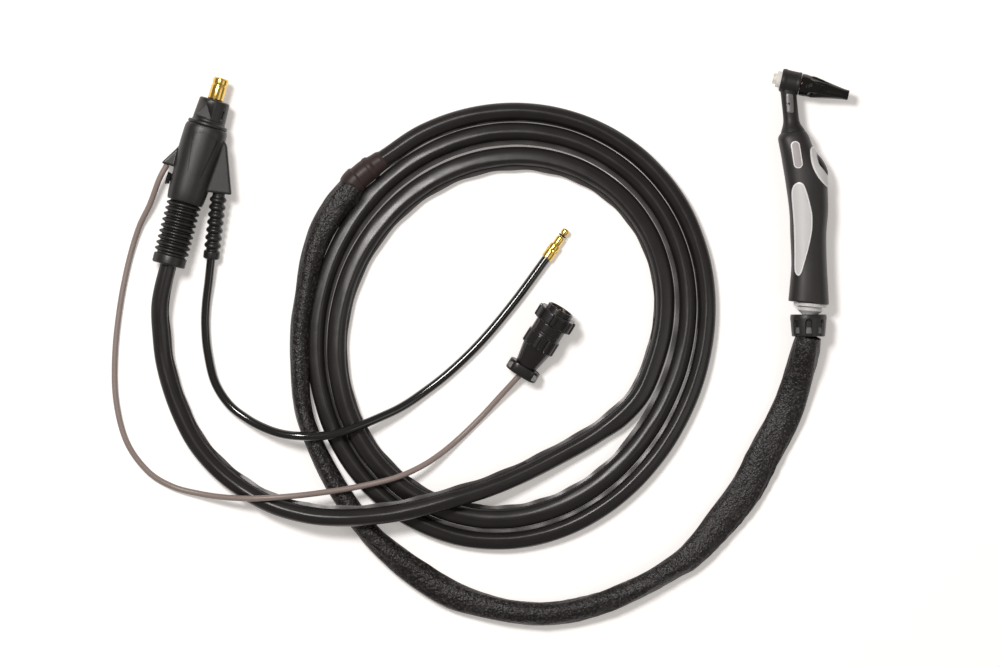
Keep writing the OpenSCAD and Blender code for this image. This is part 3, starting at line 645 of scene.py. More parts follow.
def add_rod(bm: bmesh.types.BMesh, radius: float, low: float, high: float, segments: int,
            tip: float | None = None) -> None:
    """Adds a rod or cone along Z.

    Args:
        bm: The mesh.
        radius: Its radius at the low end, in mm.
        low: The low end's z.
        high: The high end's z.
        segments: Sides.
        tip: Its radius at the high end, or None for the same.
    """
    made = bmesh.ops.create_cone(
        bm, cap_ends=True, segments=segments, radius1=radius,
        radius2=radius if tip is None else tip, depth=high - low,
    )
    bmesh.ops.translate(bm, verts=made["verts"], vec=(0, 0, (low + high) / 2))


def metres(route: Sequence[Sequence[float]]) -> list[Vector]:
    """Returns the points of a route written in mm, in metres."""
    return [Vector(p[:3]) * MM for p in route]


def spline(points: Sequence[Vector], step: float) -> list[Vector]:
    """Returns a Catmull-Rom curve through points of any dimension.

    Args:
        points: The points that it passes.
        step: About how far apart its own points lie, in their unit.

    Returns:
        The curve's points.
    """
    ends = [points[0] * 2 - points[1], *points, points[-1] * 2 - points[-2]]
    out: list[Vector] = []
    for a, b, c, d in zip(ends, ends[1:], ends[2:], ends[3:]):
        count = max(2, round((c - b).length / step))
        for t in (i / count for i in range(count)):
            cubic = 3 * b - a - 3 * c + d
            out.append(0.5 * (2 * b + (c - a) * t + (2 * a - 5 * b + 4 * c - d) * t**2
                              + cubic * t**3))
    out.append(points[-1].copy())
    return out


def distances(path: Sequence[Vector]) -> list[float]:
    """Returns how far along a path each of its points lies.

    Args:
        path: The path's points.

    Returns:
        One distance to a point.
    """
    out = [0.0]
    for a, b in zip(path, path[1:]):
        out.append(out[-1] + (b - a).length)
    return out


def heading_at(path: Sequence[Vector], i: int) -> tuple[Vector, Vector]:
    """Returns the way ahead at a point of a path, and the unit vector to its right."""
    ahead = path[min(i + 1, len(path) - 1)] - path[max(i - 1, 0)]
    return ahead, Vector((ahead.y, -ahead.x, 0.0)).normalized()


def tube_rings(bm: bmesh.types.BMesh, count: int,
               sides: int) -> Iterator[list[bmesh.types.BMVert]]:
    """Yields the corners of a tube's rings, each ring grown from the one before.

    Args:
        bm: An empty mesh.
        count: How many rings the tube has.
        sides: Corners to a ring.

    Yields:
        The corners of one ring, in the same order every time.
    """
    ring = bmesh.ops.create_circle(bm, cap_ends=False, segments=sides, radius=1.0)["verts"]
    rim = list(bm.edges)
    yield ring
    for _ in range(count - 1):
        grown = bmesh.ops.extrude_edge_only(bm, edges=rim)["geom"]
        fresh = {g for g in grown if isinstance(g, bmesh.types.BMVert)}
        ring = [next(e.other_vert(v) for e in v.link_edges if e.other_vert(v) in fresh)
                for v in ring]
        rim = [g for g in grown if isinstance(g, bmesh.types.BMEdge)
               and g.verts[0] in fresh and g.verts[1] in fresh]
        yield ring


def sweep(path: Sequence[Vector], name: str, finish: Finish,
          section: Callable[[float, int], Point], sides: int,
          smooth_deg: float = 60.0) -> bpy.types.Object:
    """Draws a closed tube along a path.

    Args:
        path: The path's points, in metres.
        name: The piece's name.
        finish: Its finish.
        section: A function of the distance along and of a side's number that gives the place
            of that side's corner, to the path's right and above it, in metres.
        sides: Corners round the tube.
        smooth_deg: Edges sharper than this stay sharp.

    Returns:
        The tube, with the distance along in "along" and the share of a turn in "around".
    """
    bm = bmesh.new()
    along = bm.verts.layers.float.new("along")
    around = bm.verts.layers.float.new("around")
    travelled = distances(path)
    for i, ring in enumerate(tube_rings(bm, len(path), sides)):
        ahead, right = heading_at(path, i)
        up = right.cross(ahead).normalized()
        for k, vert in enumerate(ring):
            x, z = section(travelled[i], k)
            vert.co = (path[i] + right * x + up * z) / MM
            vert[along] = travelled[i]
            vert[around] = k / sides
    close_rims(bm)
    return finish_piece(bm, name, finish, smooth_deg=smooth_deg)


def ride(piece: bpy.types.Object, body: str, slot: str, *nodes: str) -> bpy.types.Object:
    """Hangs a piece on a body and hides the CAD nodes that it stands for.

    Args:
        piece: The piece.
        body: The body that carries it.
        slot: Not used.
        nodes: The CAD nodes that it stands for.

    Returns:
        The same piece.
    """
    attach(piece, body)
    if nodes:
        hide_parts(*nodes)
    return piece


# Where the fittings lie, in mm in the row frame, and their headings in degrees.
CONNECTOR = Vector((-512.6, 66.4, 17.5))
CONNECTOR_DIR = 73.4
BODY_END = 69.0
BOOT_FACE = CONNECTOR - plan_dir(CONNECTOR_DIR) * BODY_END
BOOT_DIR = 75.4
BOOT_L = 55.0
BOOT_TIP = BOOT_FACE - plan_dir(BOOT_DIR) * BOOT_L
GAS_OUT = Vector((-503.4, 6.0, 17.0))
GAS_OUT_DIR = 83.0
GAS_OUT_PITCH = 8.5
GAS_BOOT_L = 54.5
GAS_TIP = GAS_OUT - plan_dir(GAS_OUT_DIR, GAS_OUT_PITCH) * GAS_BOOT_L
GAS_PLUG = Vector((-225.0, -47.0, 4.8))
GAS_PLUG_DIR = 54.5
PLUG_DIR = 57.9
PLUG_PITCH = math.degrees(math.atan((35.4 - 20.0) / 2 / 51.4))
PLUG_BACK = Vector((-247.4, -146.0, 10.0 * math.cos(math.radians(PLUG_PITCH))))
LEAD_OUT = (CONNECTOR - plan_dir(CONNECTOR_DIR) * 42.4
            + plan_dir(CONNECTOR_DIR + 90.0) * 23.6 - Vector((0.0, 0.0, 1.5)))


@dataclass
class Cables:
    """The sleeved main cable, the gas hose and the control lead."""

    leather_d: float = 22.0
    sheath_d: float = 14.0
    gas_d: float = 7.5
    lead_d: float = 5.0
    fin_reach: float = 3.5
    fin_wave: float = 33.0
    outer_bulge: float = 2.9
    open_bulge: float = 0.8
    coil_centre: tuple[float, float] = (-264.0, -104.0)
    coil_loops: float = 2.43
    coil_from: float = 126.0
    coil_r: float = 181.0
    coil_shrink: float = 14.0
    coil_steps: int = 58
    leather_route: tuple[tuple[float, ...], ...] = (
        (-2.4, -113.5, 16, 21, 21), (-5, -125, 14, 24, 20), (-12, -151, 9, 26, 15),
        (-20, -175, 6.7, 27, 13), (-36, -207, 6.7, 27, 13), (-55, -243, 6.7, 27, 13),
        (-75, -269, 6.7, 26, 13), (-100, -298, 7.5, 22, 15), (-122, -313, 8.5, 18, 17),
        (-145, -326, 8.5, 18, 17), (-175, -339, 8.5, 19, 17), (-212, -348, 8.5, 19, 17),
        (-250, -348, 8.5, 19, 17), (-286, -340, 7.7, 21, 15), (-315, -328, 7.2, 23, 14),
        (-343, -309, 7.2, 22, 14), (-367, -289, 8.2, 18, 16), (-383, -271, 8.2, 17, 16),
        (-398, -249, 8.2, 17, 16), (-412, -225, 8.6, 16, 17), (-425, -197, 9, 14.5, 18),
        (-433, -170, 9, 13.5, 18), (-436, -140, 9, 13, 18), (-436, -105, 9, 13, 18),
        (-432, -78, 9, 13.5, 18), (-427, -50, 9, 15, 18), (-418, -24, 9, 17.5, 18),
        (-405, -2, 9.2, 19, 18), (-387, 19, 10, 19, 19),
    )
    run_route: tuple[tuple[float, ...], ...] = (
        (-179, -194, 7), (-213, -214, 9), (-247, -231, 13), (-277, -243, 17.5),
        (-307, -252, 21.5), (-337, -260, 23), (-366, -265, 23.5), (-396, -267, 24),
        (-426, -265, 22), (-456, -257, 15.5), (-481, -244, 9.5), (-505, -225, 7),
        (-524, -202, 7), (-539, -171, 7), (-549, -138, 7), (-552, -112, 9), (-553, -85, 14),
    )
    gas_route: tuple[tuple[float, ...], ...] = (
        (-512, -66, 6.8), (-514.5, -87, 4.4), (-515, -106, 3.75), (-513, -127, 3.75),
        (-507, -152, 3.75), (-495, -171, 4.5), (-480, -183, 8), (-465, -191, 13.5),
        (-450, -196, 19), (-434, -198, 22.8), (-417, -198, 23), (-400, -195, 21.5),
        (-383, -189, 18), (-366, -182, 13.5), (-349, -174, 8.5), (-332, -163, 5),
        (-308, -144.5, 3.75), (-281, -118.5, 3.75), (-253, -85, 4),
    )
    lead_route: tuple[tuple[float, ...], ...] = (
        (-554, 20, 14.5), (-562, -1, 9.5), (-572, -22, 4.5), (-581, -53, 2.5),
        (-588, -90, 2.5), (-592, -130, 2.5), (-591, -168, 2.5), (-582, -203, 2.5),
        (-564, -228, 2.5), (-543, -241, 3.2), (-520, -247, 7), (-499, -250, 14),
        (-477, -251, 21.5), (-455, -250, 25.5), (-432, -248, 25.2), (-409, -245, 22),
        (-385, -241, 19.8), (-355, -234, 18), (-333.5, -225, 14), (-316, -214, 8),
        (-299, -200, 3.5), (-280, -181.5, 3), (-264, -164, 6),
    )
    boot_hold: float = 20.0
    # How far apart the rings of each strand lie.
    ring_step: float = 3.5
    leather_step: float = 2.6
    collar_step: float = 0.9
    hose_step: float = 3.0
    # Where another strand of the coil is looked for: how far along, away and up or down.
    other_strand: float = 60.0
    near_reach: float = 30.0
    near_rise: float = 9.0
    # The room up to which the fin is pressed, and over which it then opens.
    room_shut: float = 10.0
    room_span: float = 4.0
    pressed_fin: float = 3.75
    fin_gap: float = 0.15
    fin_half: float = 0.35
    root_half: float = 0.8
    # The angle of each crease round the sheath and its height.
    creases: tuple[Point, ...] = ((1.5, 0.55), (2.6, 0.3))
    # How far a sleeve may reach under the bench.
    sink: float = 0.1
    collar_profile: tuple[Point, ...] = (
        (0.0, 10.3), (0.03, 11.2), (0.2, 11.4), (0.23, 10.3), (0.54, 10.1), (0.58, 10.7),
        (0.66, 10.3), (0.70, 9.2), (0.9, 8.7), (0.97, 8.5), (1.0, 7.6))

    def coil_at(self, n: float) -> Vector:
        """Returns the sheath's middle after n loops of its coil, in metres.

        Args:
            n: Loops from the coil's start.

        Returns:
            The place in the row frame.
        """
        a = self.coil_from - 360.0 * n
        r = (self.coil_r - self.coil_shrink * n - 2.2 * n * n
             + 6.5 * math.cos(math.radians(a + 34.0))
             + 8.4 * math.cos(math.radians(2.0 * (a - 72.0 + 5.0 * n)))
             + 1.4 * math.cos(math.radians(3.0 * (a - 28.0))))
        z = self.sheath_d / 2 + 3.5 * max(0.0, 1.0 - n / 0.1) ** 2
        x, y = self.coil_centre
        turn = math.radians(a)
        return Vector((x + r * math.cos(turn), y + r * math.sin(turn), z)) * MM

    def sheath_path(self) -> list[Vector]:
        """Returns the sheath's path: its coil, then its run to the connector's boot.

        Returns:
            Its points, in metres.
        """
        loops = [self.coil_at(self.coil_loops * i / self.coil_steps)
                 for i in range(self.coil_steps + 1)]
        inside = BOOT_TIP + plan_dir(BOOT_DIR) * self.boot_hold
        run = [*metres(self.run_route), BOOT_TIP * MM, inside * MM]
        return spline([*loops, *run], self.ring_step * MM)

    def free_room(self, path: Sequence[Vector], side: float) -> list[float]:
        """Returns how much room another strand leaves on one side, at each point, in metres.

        Args:
            path: The sheath's path.
            side: 1 for its right, where the fin is, or -1 for its left.

        Returns:
            The room between the two round strands.
        """
        tree = KDTree(len(path))
        for i, place in enumerate(path):
            tree.insert(place, i)
        tree.balance()
        far = int(self.other_strand / self.ring_step)
        room = []
        for i, place in enumerate(path):
            outward = heading_at(path, i)[1] * side
            near = [(other - place).length
                    for other, j, _ in tree.find_range(place, self.near_reach * MM)
                    if abs(i - j) > far and (other - place).dot(outward) > 0.0
                    and abs(other.z - place.z) < self.near_rise * MM]
            room.append(max(min(near, default=1.0) - self.sheath_d * MM, 0.0))
        return [min(room[max(0, i - 4):i + 5]) for i in range(len(room))]

    def sheath(self) -> bpy.types.Object:
        """Draws the sheath: a creased round skin with a rippled fin on its inner side.

        Returns:
            The piece.
        """
        path = self.sheath_path()
        inner, outer = self.free_room(path, 1.0), self.free_room(path, -1.0)
        total = distances(path)
        sides = SHEATH_SIDES
        base = math.asin(self.root_half / (self.sheath_d / 2))
        radius = self.sheath_d / 2 * MM
        step = total[-1] / (len(path) - 1)

        def opened(room: float) -> float:
            """Returns 0 beside another strand and 1 where the side is free."""
            return min(1.0, max(0.0, room / MM - self.room_shut) / self.room_span)

        def fin(s: float, i: int, side: int, tail: float) -> Point:
            """Returns a corner of the fin's edge, over (side 1) or under (-1) its middle.

            Args:
                s: The distance along, in metres.
                i: The path's nearest point.
                side: 1 or -1.
                tail: How much of it is left near its end, from 0 to 1.

            Returns:
                Its place to the right and up, in metres.
            """
            free = opened(inner[i])
            across = 0.3 + 0.7 * abs(heading_at(path, i)[0].normalized().x)
            most = (1.0 - free) * self.pressed_fin + free * self.fin_reach * across
            reach = max(0.5 * inner[i], inner[i] - self.outer_bulge * MM) - self.fin_gap * MM
            reach = max(self.fin_gap * MM, min(reach, most * MM) * tail)
            wave = math.sin(math.tau * s / (self.fin_wave * MM) + 2.2 * math.sin(s * 11.0))
            x = radius + reach * (1.0 - (0.03 + 0.09 * free) * (1.0 - wave))
            return x, side * self.fin_half * MM + 0.06 * reach * wave

        def corner(s: float, k: int) -> Point:
            """Returns a corner of the sheath: the first and last are the fin's edge.

            Args:
                s: The distance along, in metres.
                k: The corner's number.

            Returns:
                Its place to the right and up, in metres.
            """
            i = min(round(s / step), len(path) - 1)
            tail = min(1.0, max(0.0, (total[-1] - s) / 0.05 - 0.5))
            if k in (0, sides - 1):
                return fin(s, i, 1 if k == 0 else -1, tail)
            a = base + (math.tau - 2 * base) * (k - 1) / (sides - 3)
            lump = 0.018 * math.cos(2 * a + 7.0 * s) + 0.016 * math.cos(3 * a - 5.0 * s + 1.0)
            dent = 0.03 * noise.noise(Vector((s * 38.0, 2.0 * math.cos(a), 2.0 * math.sin(a))))
            fold = 0.0
            for place, height in self.creases:
                middle = place + 0.22 * math.sin(s * 4.3 + place * 5.0)
                fold += height * math.exp(-(((a - middle) / 0.3) ** 2))
            r = radius * (1.0 + lump + dent) + (fold - 0.1) * MM
            free = opened(outer[i])
            most = (1.0 - free) * self.outer_bulge + free * self.open_bulge
            bulge = min(0.5 * outer[i], most * MM) * tail
            x = r * math.cos(a)
            return x - bulge * max(0.0, -math.cos(a)) ** 0.7, r * math.sin(a)

        return ride(sweep(path, "outer_sheath", SHEATH, corner, sides), "cable_set",
                    "sheath_black", "sheath_coil", "sheath_run")

    def leather(self) -> tuple[bpy.types.Object, list[Vector]]:
        """Draws the leather sleeve: flat or round by turns, twisted, creased and grained.

        Returns:
            The sleeve and its path.
        """
        keys = spline([Vector(p) * MM for p in self.leather_route], self.leather_step * MM)
        path = [Vector(k[:3]) for k in keys]
        travelled = distances(path)
        sides = 40
        sizes = dict(zip(travelled, ((k[3] / 2, k[4] / 2, k[2]) for k in keys)))

        def corner(s: float, k: int) -> Point:
            """Returns a corner of the sleeve, with its folds.

            Args:
                s: The distance along, in metres.
                k: The corner's number.

            Returns:
                Its place to the right and up, in metres.
            """
            half_w, half_h, rise = sizes[s]
            a = math.tau * k / sides
            twist = a - 13.0 * s
            at = Vector((s * 8.0, 1.2 * math.cos(twist), 1.2 * math.sin(twist)))
            fold = max(0.0, 1.0 - 3.0 * abs(noise.noise(at)))
            lump = noise.noise(at * 2.3 + Vector((5.0, 0.0, 0.0)))
            pucker = noise.noise(Vector((s * 95.0, 2.5 * math.cos(a), 2.5 * math.sin(a))))
            calm = min(1.0, s / 0.012, (travelled[-1] - s) / 0.012)
            crest = 1.9 - 0.55 * s / travelled[-1] + 0.25 * math.sin(13.0 * s)
            ridge = math.exp(-(((a - crest) / 0.42) ** 2))
            folds = 0.09 * fold - 0.045 + 0.09 * ridge + 0.03 * lump + 0.028 * pucker
            grow = 1.03 + calm * folds
            squash = math.copysign(abs(math.cos(a)) ** 0.85, math.cos(a))
            late = min(1.0, max(0.0, 1.0 - (travelled[-1] - s) / 0.22) * 4.0) * calm
            inward = (0.9 + 0.7 * squash + 2.2 * max(0.0, squash)) * late * MM
            z = half_h * grow * math.sin(a)
            return half_w * grow * squash + inward, max(z, -self.sink * MM - rise)

        piece = sweep(path, "leather_cover", LEATHER, corner, sides)
        return ride(piece, "cable_set", "leather_black", "leather_sleeve"), path

    def collar(self) -> bpy.types.Object:
        """Draws the heat-shrunk collar that joins the leather to the sheath.

        Returns:
            The piece.
        """
        start = Vector(self.leather_route[-1][:3]) * MM
        end = self.coil_at(0.0)
        back = (start - Vector(self.leather_route[-2][:3]) * MM).normalized()
        on = (self.coil_at(0.02) - end).normalized()
        path = spline([start - back * 5.0 * MM, start, end, end + on * 2.5 * MM],
                      self.collar_step * MM)
        travelled = distances(path)
        total = travelled[-1]
        rises = dict(zip(travelled, (place.z for place in path)))
        parts = list(zip(self.collar_profile, self.collar_profile[1:]))
        sides = 40

        def corner(s: float, k: int) -> Point:
            """Returns a corner of the collar, on its stepped profile.

            Args:
                s: The distance along, in metres.
                k: The corner's number.

            Returns:
                Its place to the right and up, in metres.
            """
            t = s / total
            (a, low), (b, high) = next(pair for pair in parts if t <= pair[1][0] + 1e-6)
            turn = math.tau * k / sides
            soft = 1.0 + 0.015 * noise.noise(Vector((s * 160.0, math.cos(turn), math.sin(turn))))
            r = (low + (high - low) * (t - a) / (b - a)) * MM * soft
            z = max(r * math.sin(turn), -self.sink * MM - rises[s])
            return r * math.cos(turn) - 0.7 * MM * math.sin(math.pi * t), z

        piece = sweep(path, "shrink_collar", SHRINK, corner, sides, smooth_deg=32.0)
        return ride(piece, "cable_set", "shrink_brown", "sleeve_joint")

    def hose(self, route: Sequence[Sequence[float]], ends: tuple[Vector, Vector], diameter: float,
             name: str, finish: Finish) -> tuple[bpy.types.Object, list[Vector]]:
        """Draws a plain round hose or lead.

        Args:
            route: Its points between its ends, in mm.
            ends: Its first and last point, in mm.
            diameter: Its diameter, in mm.
            name: The piece's name.
            finish: Its finish.

        Returns:
            The hose and its path.
        """
        path = spline([ends[0] * MM, *metres(route), ends[1] * MM], self.hose_step * MM)
        radius, sides = diameter / 2 * MM, 24

        def corner(_: float, k: int) -> Point:
            """Returns one corner of the round section."""
            a = math.tau * k / sides
            return radius * math.cos(a), radius * math.sin(a)

        return sweep(path, name, finish, corner, sides), path

    def declare(self, piece: bpy.types.Object, path: Sequence[Vector], diameter: float,
                on_it: Sequence[bpy.types.Object]) -> None:
        """Logs a cord's real length.

        Args:
            piece: The cord.
            path: The points that it follows, in metres.
            diameter: Not used.
            on_it: Not used.
        """
        length = distances(path)[-1]
        LOG.info("cord %s: %.3f m", piece.name, length)
        tuple(path[0])
        [tuple(p) for p in path]

    def gas(self) -> tuple[bpy.types.Object, list[Vector]]:
        """Draws the gas hose and returns it with its path."""
        piece, path = self.hose(self.gas_route, (GAS_TIP, GAS_PLUG), self.gas_d, "gas_tube", GAS)
        return ride(piece, "cable_set", "gas_hose_black", "gas_hose"), path

    def lead(self) -> tuple[bpy.types.Object, list[Vector]]:
        """Draws the control lead and returns it with its path.

        Returns:
            The lead and its path.
        """
        piece, path = self.hose(self.lead_route, (LEAD_OUT, PLUG_BACK), self.lead_d,
                                "trigger_lead", LEAD)
        return ride(piece, "cable_set", "lead_taupe", "control_lead"), path


def closed_spline(points: Sequence[Point], step: float) -> list[Point]:
    """Returns a smooth closed outline through points, in mm.

    Args:
        points: The points that it passes.
        step: About how far apart its own points lie, in mm.

    Returns:
        The outline, its last point apart from its first.
    """
    ring = [Vector(p) for p in points]
    path = spline([*ring[-2:], *ring, *ring[:2]], step)
    start = min(range(len(path)), key=lambda i: (path[i] - ring[0]).length_squared)
    settled = 10
    out = []
    for i, place in enumerate(path[start:]):
        if i > settled and (place - path[start]).length < step * 0.6:
            break
        out.append((place.x, place.y))
    return out


def stadium(ends: Sequence[Point], radius: float, steps: int) -> list[Point]:
    """Returns the outline that lies a radius away from the line between two points.

    Args:
        ends: The two points, in mm.
        radius: The radius, in mm.
        steps: Chords to each round end.

    Returns:
        The outline.
    """
    a, b = (Vector(p) for p in ends)
    heading = math.atan2((b - a).y, (b - a).x)
    out = []
    for middle, start in ((b, heading - math.pi / 2), (a, heading + math.pi / 2)):
        for i in range(steps + 1):
            turn = start + math.pi * i / steps
            out.append((middle.x + radius * math.cos(turn), middle.y + radius * math.sin(turn)))
    return out


def drawn_in(outline: Sequence[Point], by: float) -> list[Point]:
    """Returns an outline drawn in by some mm.

    Args:
        outline: The outline.
        by: How far it is drawn in.

    Returns:
        The new outline.
    """
    after = [*outline[1:], outline[0]]
    turn = sum(a[0] * b[1] - b[0] * a[1] for a, b in zip(outline, after))
    side = math.copysign(by, turn)
    moved = []
    for i, (x, y) in enumerate(outline):
        along = (Vector(after[i]) - Vector(outline[i - 1])).normalized()
        moved.append((x - along.y * side, y + along.x * side))
    return moved


def off_centre(angle: float, step: float) -> float:
    """Returns how far an angle lies from the nearest whole number of steps."""
    return (angle + step / 2) % step - step / 2


def keep_side(bm: bmesh.types.BMesh, height: float, side: int, tolerance: float) -> None:
    """Cuts a mesh level and keeps the closed part over (side 1) or under (-1) the cut."""
    bmesh.ops.bisect_plane(bm, geom=bm.verts[:] + bm.edges[:] + bm.faces[:], dist=tolerance,
                           plane_co=(0, 0, height), plane_no=(0, 0, side), clear_inner=True)
    close_rims(bm)


def boolean_cut(piece: bpy.types.Object, other: bpy.types.Object, operation: str) -> None:
    """Runs one boolean on a piece, applies it and removes the other shape.

    Args:
        piece: The piece that is changed.
        other: The other shape.
        operation: UNION, INTERSECT or DIFFERENCE.
    """
    cut = piece.modifiers.new("cut", "BOOLEAN")
    cut.operation = operation
    cut.solver = "EXACT"
    cut.object = other
    apply_modifiers(piece)
    bpy.data.objects.remove(other)


def soften_rims(piece: bpy.types.Object, width: float) -> None:
    """Rounds a cut piece's sharp rims by a width in mm.

    Args:
        piece: The piece.
        width: The rounding's width, in mm.
    """
    bm = bmesh.new()
    bm.from_mesh(piece.data)
    bmesh.ops.remove_doubles(bm, verts=bm.verts, dist=0.02 * MM)
    bmesh.ops.dissolve_degenerate(bm, edges=bm.edges, dist=0.01 * MM)
    bevel_edges(bm, width * MM, 50.0, 2)
    shade(bm, 40.0)
    bm.to_mesh(piece.data)
    bm.free()


@dataclass
class Torch:
    """The head, the neck, the handle and its trims, and the swivel."""

    head: tuple[float, float, float] = (-17.1, 102.6, 16.0)
    head_dir: float = -13.0
    head_r: float = 9.7
    head_half: float = 7.75
    lip_r: float = 10.1
    cap_l: float = 42.3
    cap_r: float = 9.0
    cap_tip_r: float = 4.0
    flutes: int = 7
    flute_from: float = 7.4
    flute_l: float = 21.0
    flute_half: float = 0.36
    flute_lean: float = 0.16
    flute_depth: float = 1.2
    bead_h: float = 0.26
    middle_z: float = 16.0
    nut: tuple[float, float, float] = (-2.4, -103.2, 16.0)
    nut_r: float = 15.6
    nut_back_r: float = 14.3
    nut_front: float = 8.5
    nut_l: float = 18.8
    nut_bore: float = 12.0
    nut_notches: int = 8
    notch_from: float = 3.6
    notch_half: float = 0.2
    notch_depth: float = 1.7
    button: tuple[float, float, float] = (8.4, 32.6, 19.6)
    button_dir: float = 29.6
    button_pitch: float = 20.0
    button_half: tuple[float, float] = (7.4, 10.2)
    button_dome: float = 1.9
    sections: tuple[tuple[float, ...], ...] = (
        (60.5, -26.1, -5.3, 10.8, 0.12), (56, -28.2, -2.2, 13, 0.08), (49, -27.3, 0.7, 14.4, 0.03),
        (41, -25.8, 5.2, 15.2, 0), (33, -24.5, 9.4, 15.5, 0), (26, -23.3, 13.2, 15.8, 0),
        (14, -21.4, 13.9, 16, 0), (-7, -18.7, 14.3, 16, 0), (-27, -17.9, 12.8, 15.6, 0),
        (-52, -17, 13.2, 15.6, 0), (-72, -18.4, 14.4, 16, -0.06), (-85, -19.6, 15, 16, -0.098),
    )
    neck: tuple[tuple[float, ...], ...] = (
        (99, -26.7, -13.2, 6.75, 0), (85, -25.2, -11.8, 6.75, 0), (72, -23.9, -10.4, 6.8, 0),
        (67, -24.1, -9.1, 7.8, 0.05), (62.5, -25.4, -6.4, 9.9, 0.1),
        (60.3, -26.0, -5.3, 10.7, 0.12),
    )
    inlay: tuple[Point, ...] = (
        (-10.3, 17.4), (-12.9, 16.8), (-15.5, 14.6), (-17.0, 9.6), (-16.8, 1.8), (-15.9, -8.6),
        (-15.1, -21.6), (-14.6, -41.1), (-14.6, -54.2), (-13.9, -59.4), (-11.6, -62.0),
        (-9.0, -59.6), (-6.4, -51.5), (-3.1, -39.8), (-0.5, -28.1), (0.5, -19.0), (0.3, -9.9),
        (-1.2, -2.1), (-3.4, 6.4), (-5.7, 13.2), (-7.7, 16.3),
    )
    bezel: tuple[Point, ...] = (
        (1.4, 48.2), (6, 50), (20, 46), (22, 30), (20, 12.2), (14.2, 12.7), (5.7, 21.2),
        (0.3, 32), (-1.3, 44.4),
    )
    badge_ends: tuple[Point, Point] = ((-13.9, 48.5), (-11.5, 33.0))
    badge_r: float = 3.85
    inlay_step: float = 1.4
    bezel_step: float = 1.2
    split_gap: float = 0.06
    split_round: float = 0.25
    end_round: float = 1.1
    ring_step: float = 1.6
    melt_step: float = 0.26
    button_room: float = 0.35
    plate_x: float = -19.0
    plate_y: Point = (76.5, 92.5)

    def loft(self, sections: Sequence[Sequence[float]], inset: float, name: str, finish: Finish,
             sides: int = LOFT_SIDES, bulge: float = 0.82) -> bpy.types.Object:
        """Draws a smooth closed solid through oval sections across Y.

        Args:
            sections: Y, left x, right x, half height and slope of each, in mm.
            inset: How far the solid lies inside them, in mm.
            name: The piece's name.
            finish: Its finish.
            sides: Corners round it.
            bulge: The power that squares the ovals: 1 is an ellipse.

        Returns:
            The solid.
        """
        rings = spline([Vector(s) for s in sections], self.ring_step)
        bm = bmesh.new()
        for i, ring in enumerate(tube_rings(bm, len(rings), sides)):
            y, left, right, half, slope = rings[i]
            middle, reach = (left + right) / 2, (right - left) / 2 - inset
            for k, vert in enumerate(ring):
                a = math.tau * k / sides
                c, s = math.cos(a), math.sin(a)
                x = math.copysign(abs(c) ** bulge, c) * reach
                z = math.copysign(abs(s) ** bulge, s) * (half - inset)
                vert.co = (middle + x, y + slope * x, self.middle_z + z)
        close_rims(bm)
        if inset >= 0 and sides >= LOFT_SIDES:
            bevel(bm, [e for e in bm.edges if len(e.link_faces) == 2
                       and any(len(f.verts) > 4 for f in e.link_faces)], self.end_round, 4)
        return finish_piece(bm, name, finish, smooth_deg=50.0)

    def shells(self) -> None:
        """Draws the handle's two shells, split along the middle height."""
        for side, name in ((1, "upper"), (-1, "lower")):
            piece = self.loft(self.sections, 0.0, f"grip_{name}", GRIP)
            bm = bmesh.new()
            bm.from_mesh(piece.data)
            keep_side(bm, (self.middle_z + self.split_gap * side) * MM, side, 1e-7)
            bevel(bm, [e for e in bm.edges if len(e.link_faces) == 2
                       and any(len(f.verts) > 30 and abs(f.normal.z) > 0.9
                               for f in e.link_faces)], self.split_round * MM, 2)
            shade(bm, 48.0)
            bm.to_mesh(piece.data)
            bm.free()
            ride(piece, "torch", "grip_black", f"handle_shell_{name}")

    def patch(self, outline: Sequence[Point], proud: float, depth: float, name: str,
              finish: Finish, low: float | None = None) -> bpy.types.Object:
        """Draws a patch of the handle's own surface within an outline in plan.

        Args:
            outline: The outline, in mm.
            proud: How far the patch stands out of the surface, in mm.
            depth: How deep it goes under the surface, in mm.
            name: The piece's name.
            finish: Its finish.
            low: Where the patch starts in z, or None for the handle's middle height.

        Returns:
            The patch.
        """
        bottom = self.middle_z if low is None else low
        piece = finish_piece(prism(outline, bottom, 2 * self.middle_z + 6), name, finish)
        skin = self.loft(self.sections, -proud, "skin", finish)
        core = self.loft(self.sections, depth, "core", finish)
        boolean_cut(piece, skin, "INTERSECT")
        boolean_cut(piece, core, "DIFFERENCE")
        soften_rims(piece, 0.22)
        return piece

    def pill(self, grow: float) -> list[Point]:
        """Returns the badge's rounded outline, grown by some mm."""
        return stadium(self.badge_ends, self.badge_r + grow, 18)

    def trims(self) -> None:
        """Draws the inlay, the badge and the trigger's bezel, each with a pale raised edge."""
        inlay = closed_spline(self.inlay, self.inlay_step)
        bezel = closed_spline(self.bezel, self.bezel_step)
        for outline, proud, depth, low, name, finish, slot, *node in (
            (inlay, 0.10, 1.0, None, "inlay_edge", TRIM_EDGE, "trim_light", "inlay_upper"),
            (drawn_in(inlay, 1.25), 0.28, 0.6, None, "inlay_face", TRIM, "trim_light"),
            (self.pill(0.0), 0.10, 1.0, None, "badge_edge", TRIM_EDGE, "badge_grey",
             "badge_upper"),
            (self.pill(-0.95), 0.26, 0.6, None, "badge_face", BADGE, "badge_grey"),
            (bezel, 0.35, 1.0, 1.0, "bezel_edge", TRIM_EDGE, "trim_light", "trigger_bezel"),
            (drawn_in(bezel, 1.5), 0.55, 0.3, 2.5, "bezel_face", TRIM, "trim_light"),
        ):
            piece = self.patch(outline, proud, depth, name, finish, low)
            if low is not None:
                boolean_cut(piece, self.button_blank(self.button_room), "DIFFERENCE")
            ride(piece, "torch", slot, *node)

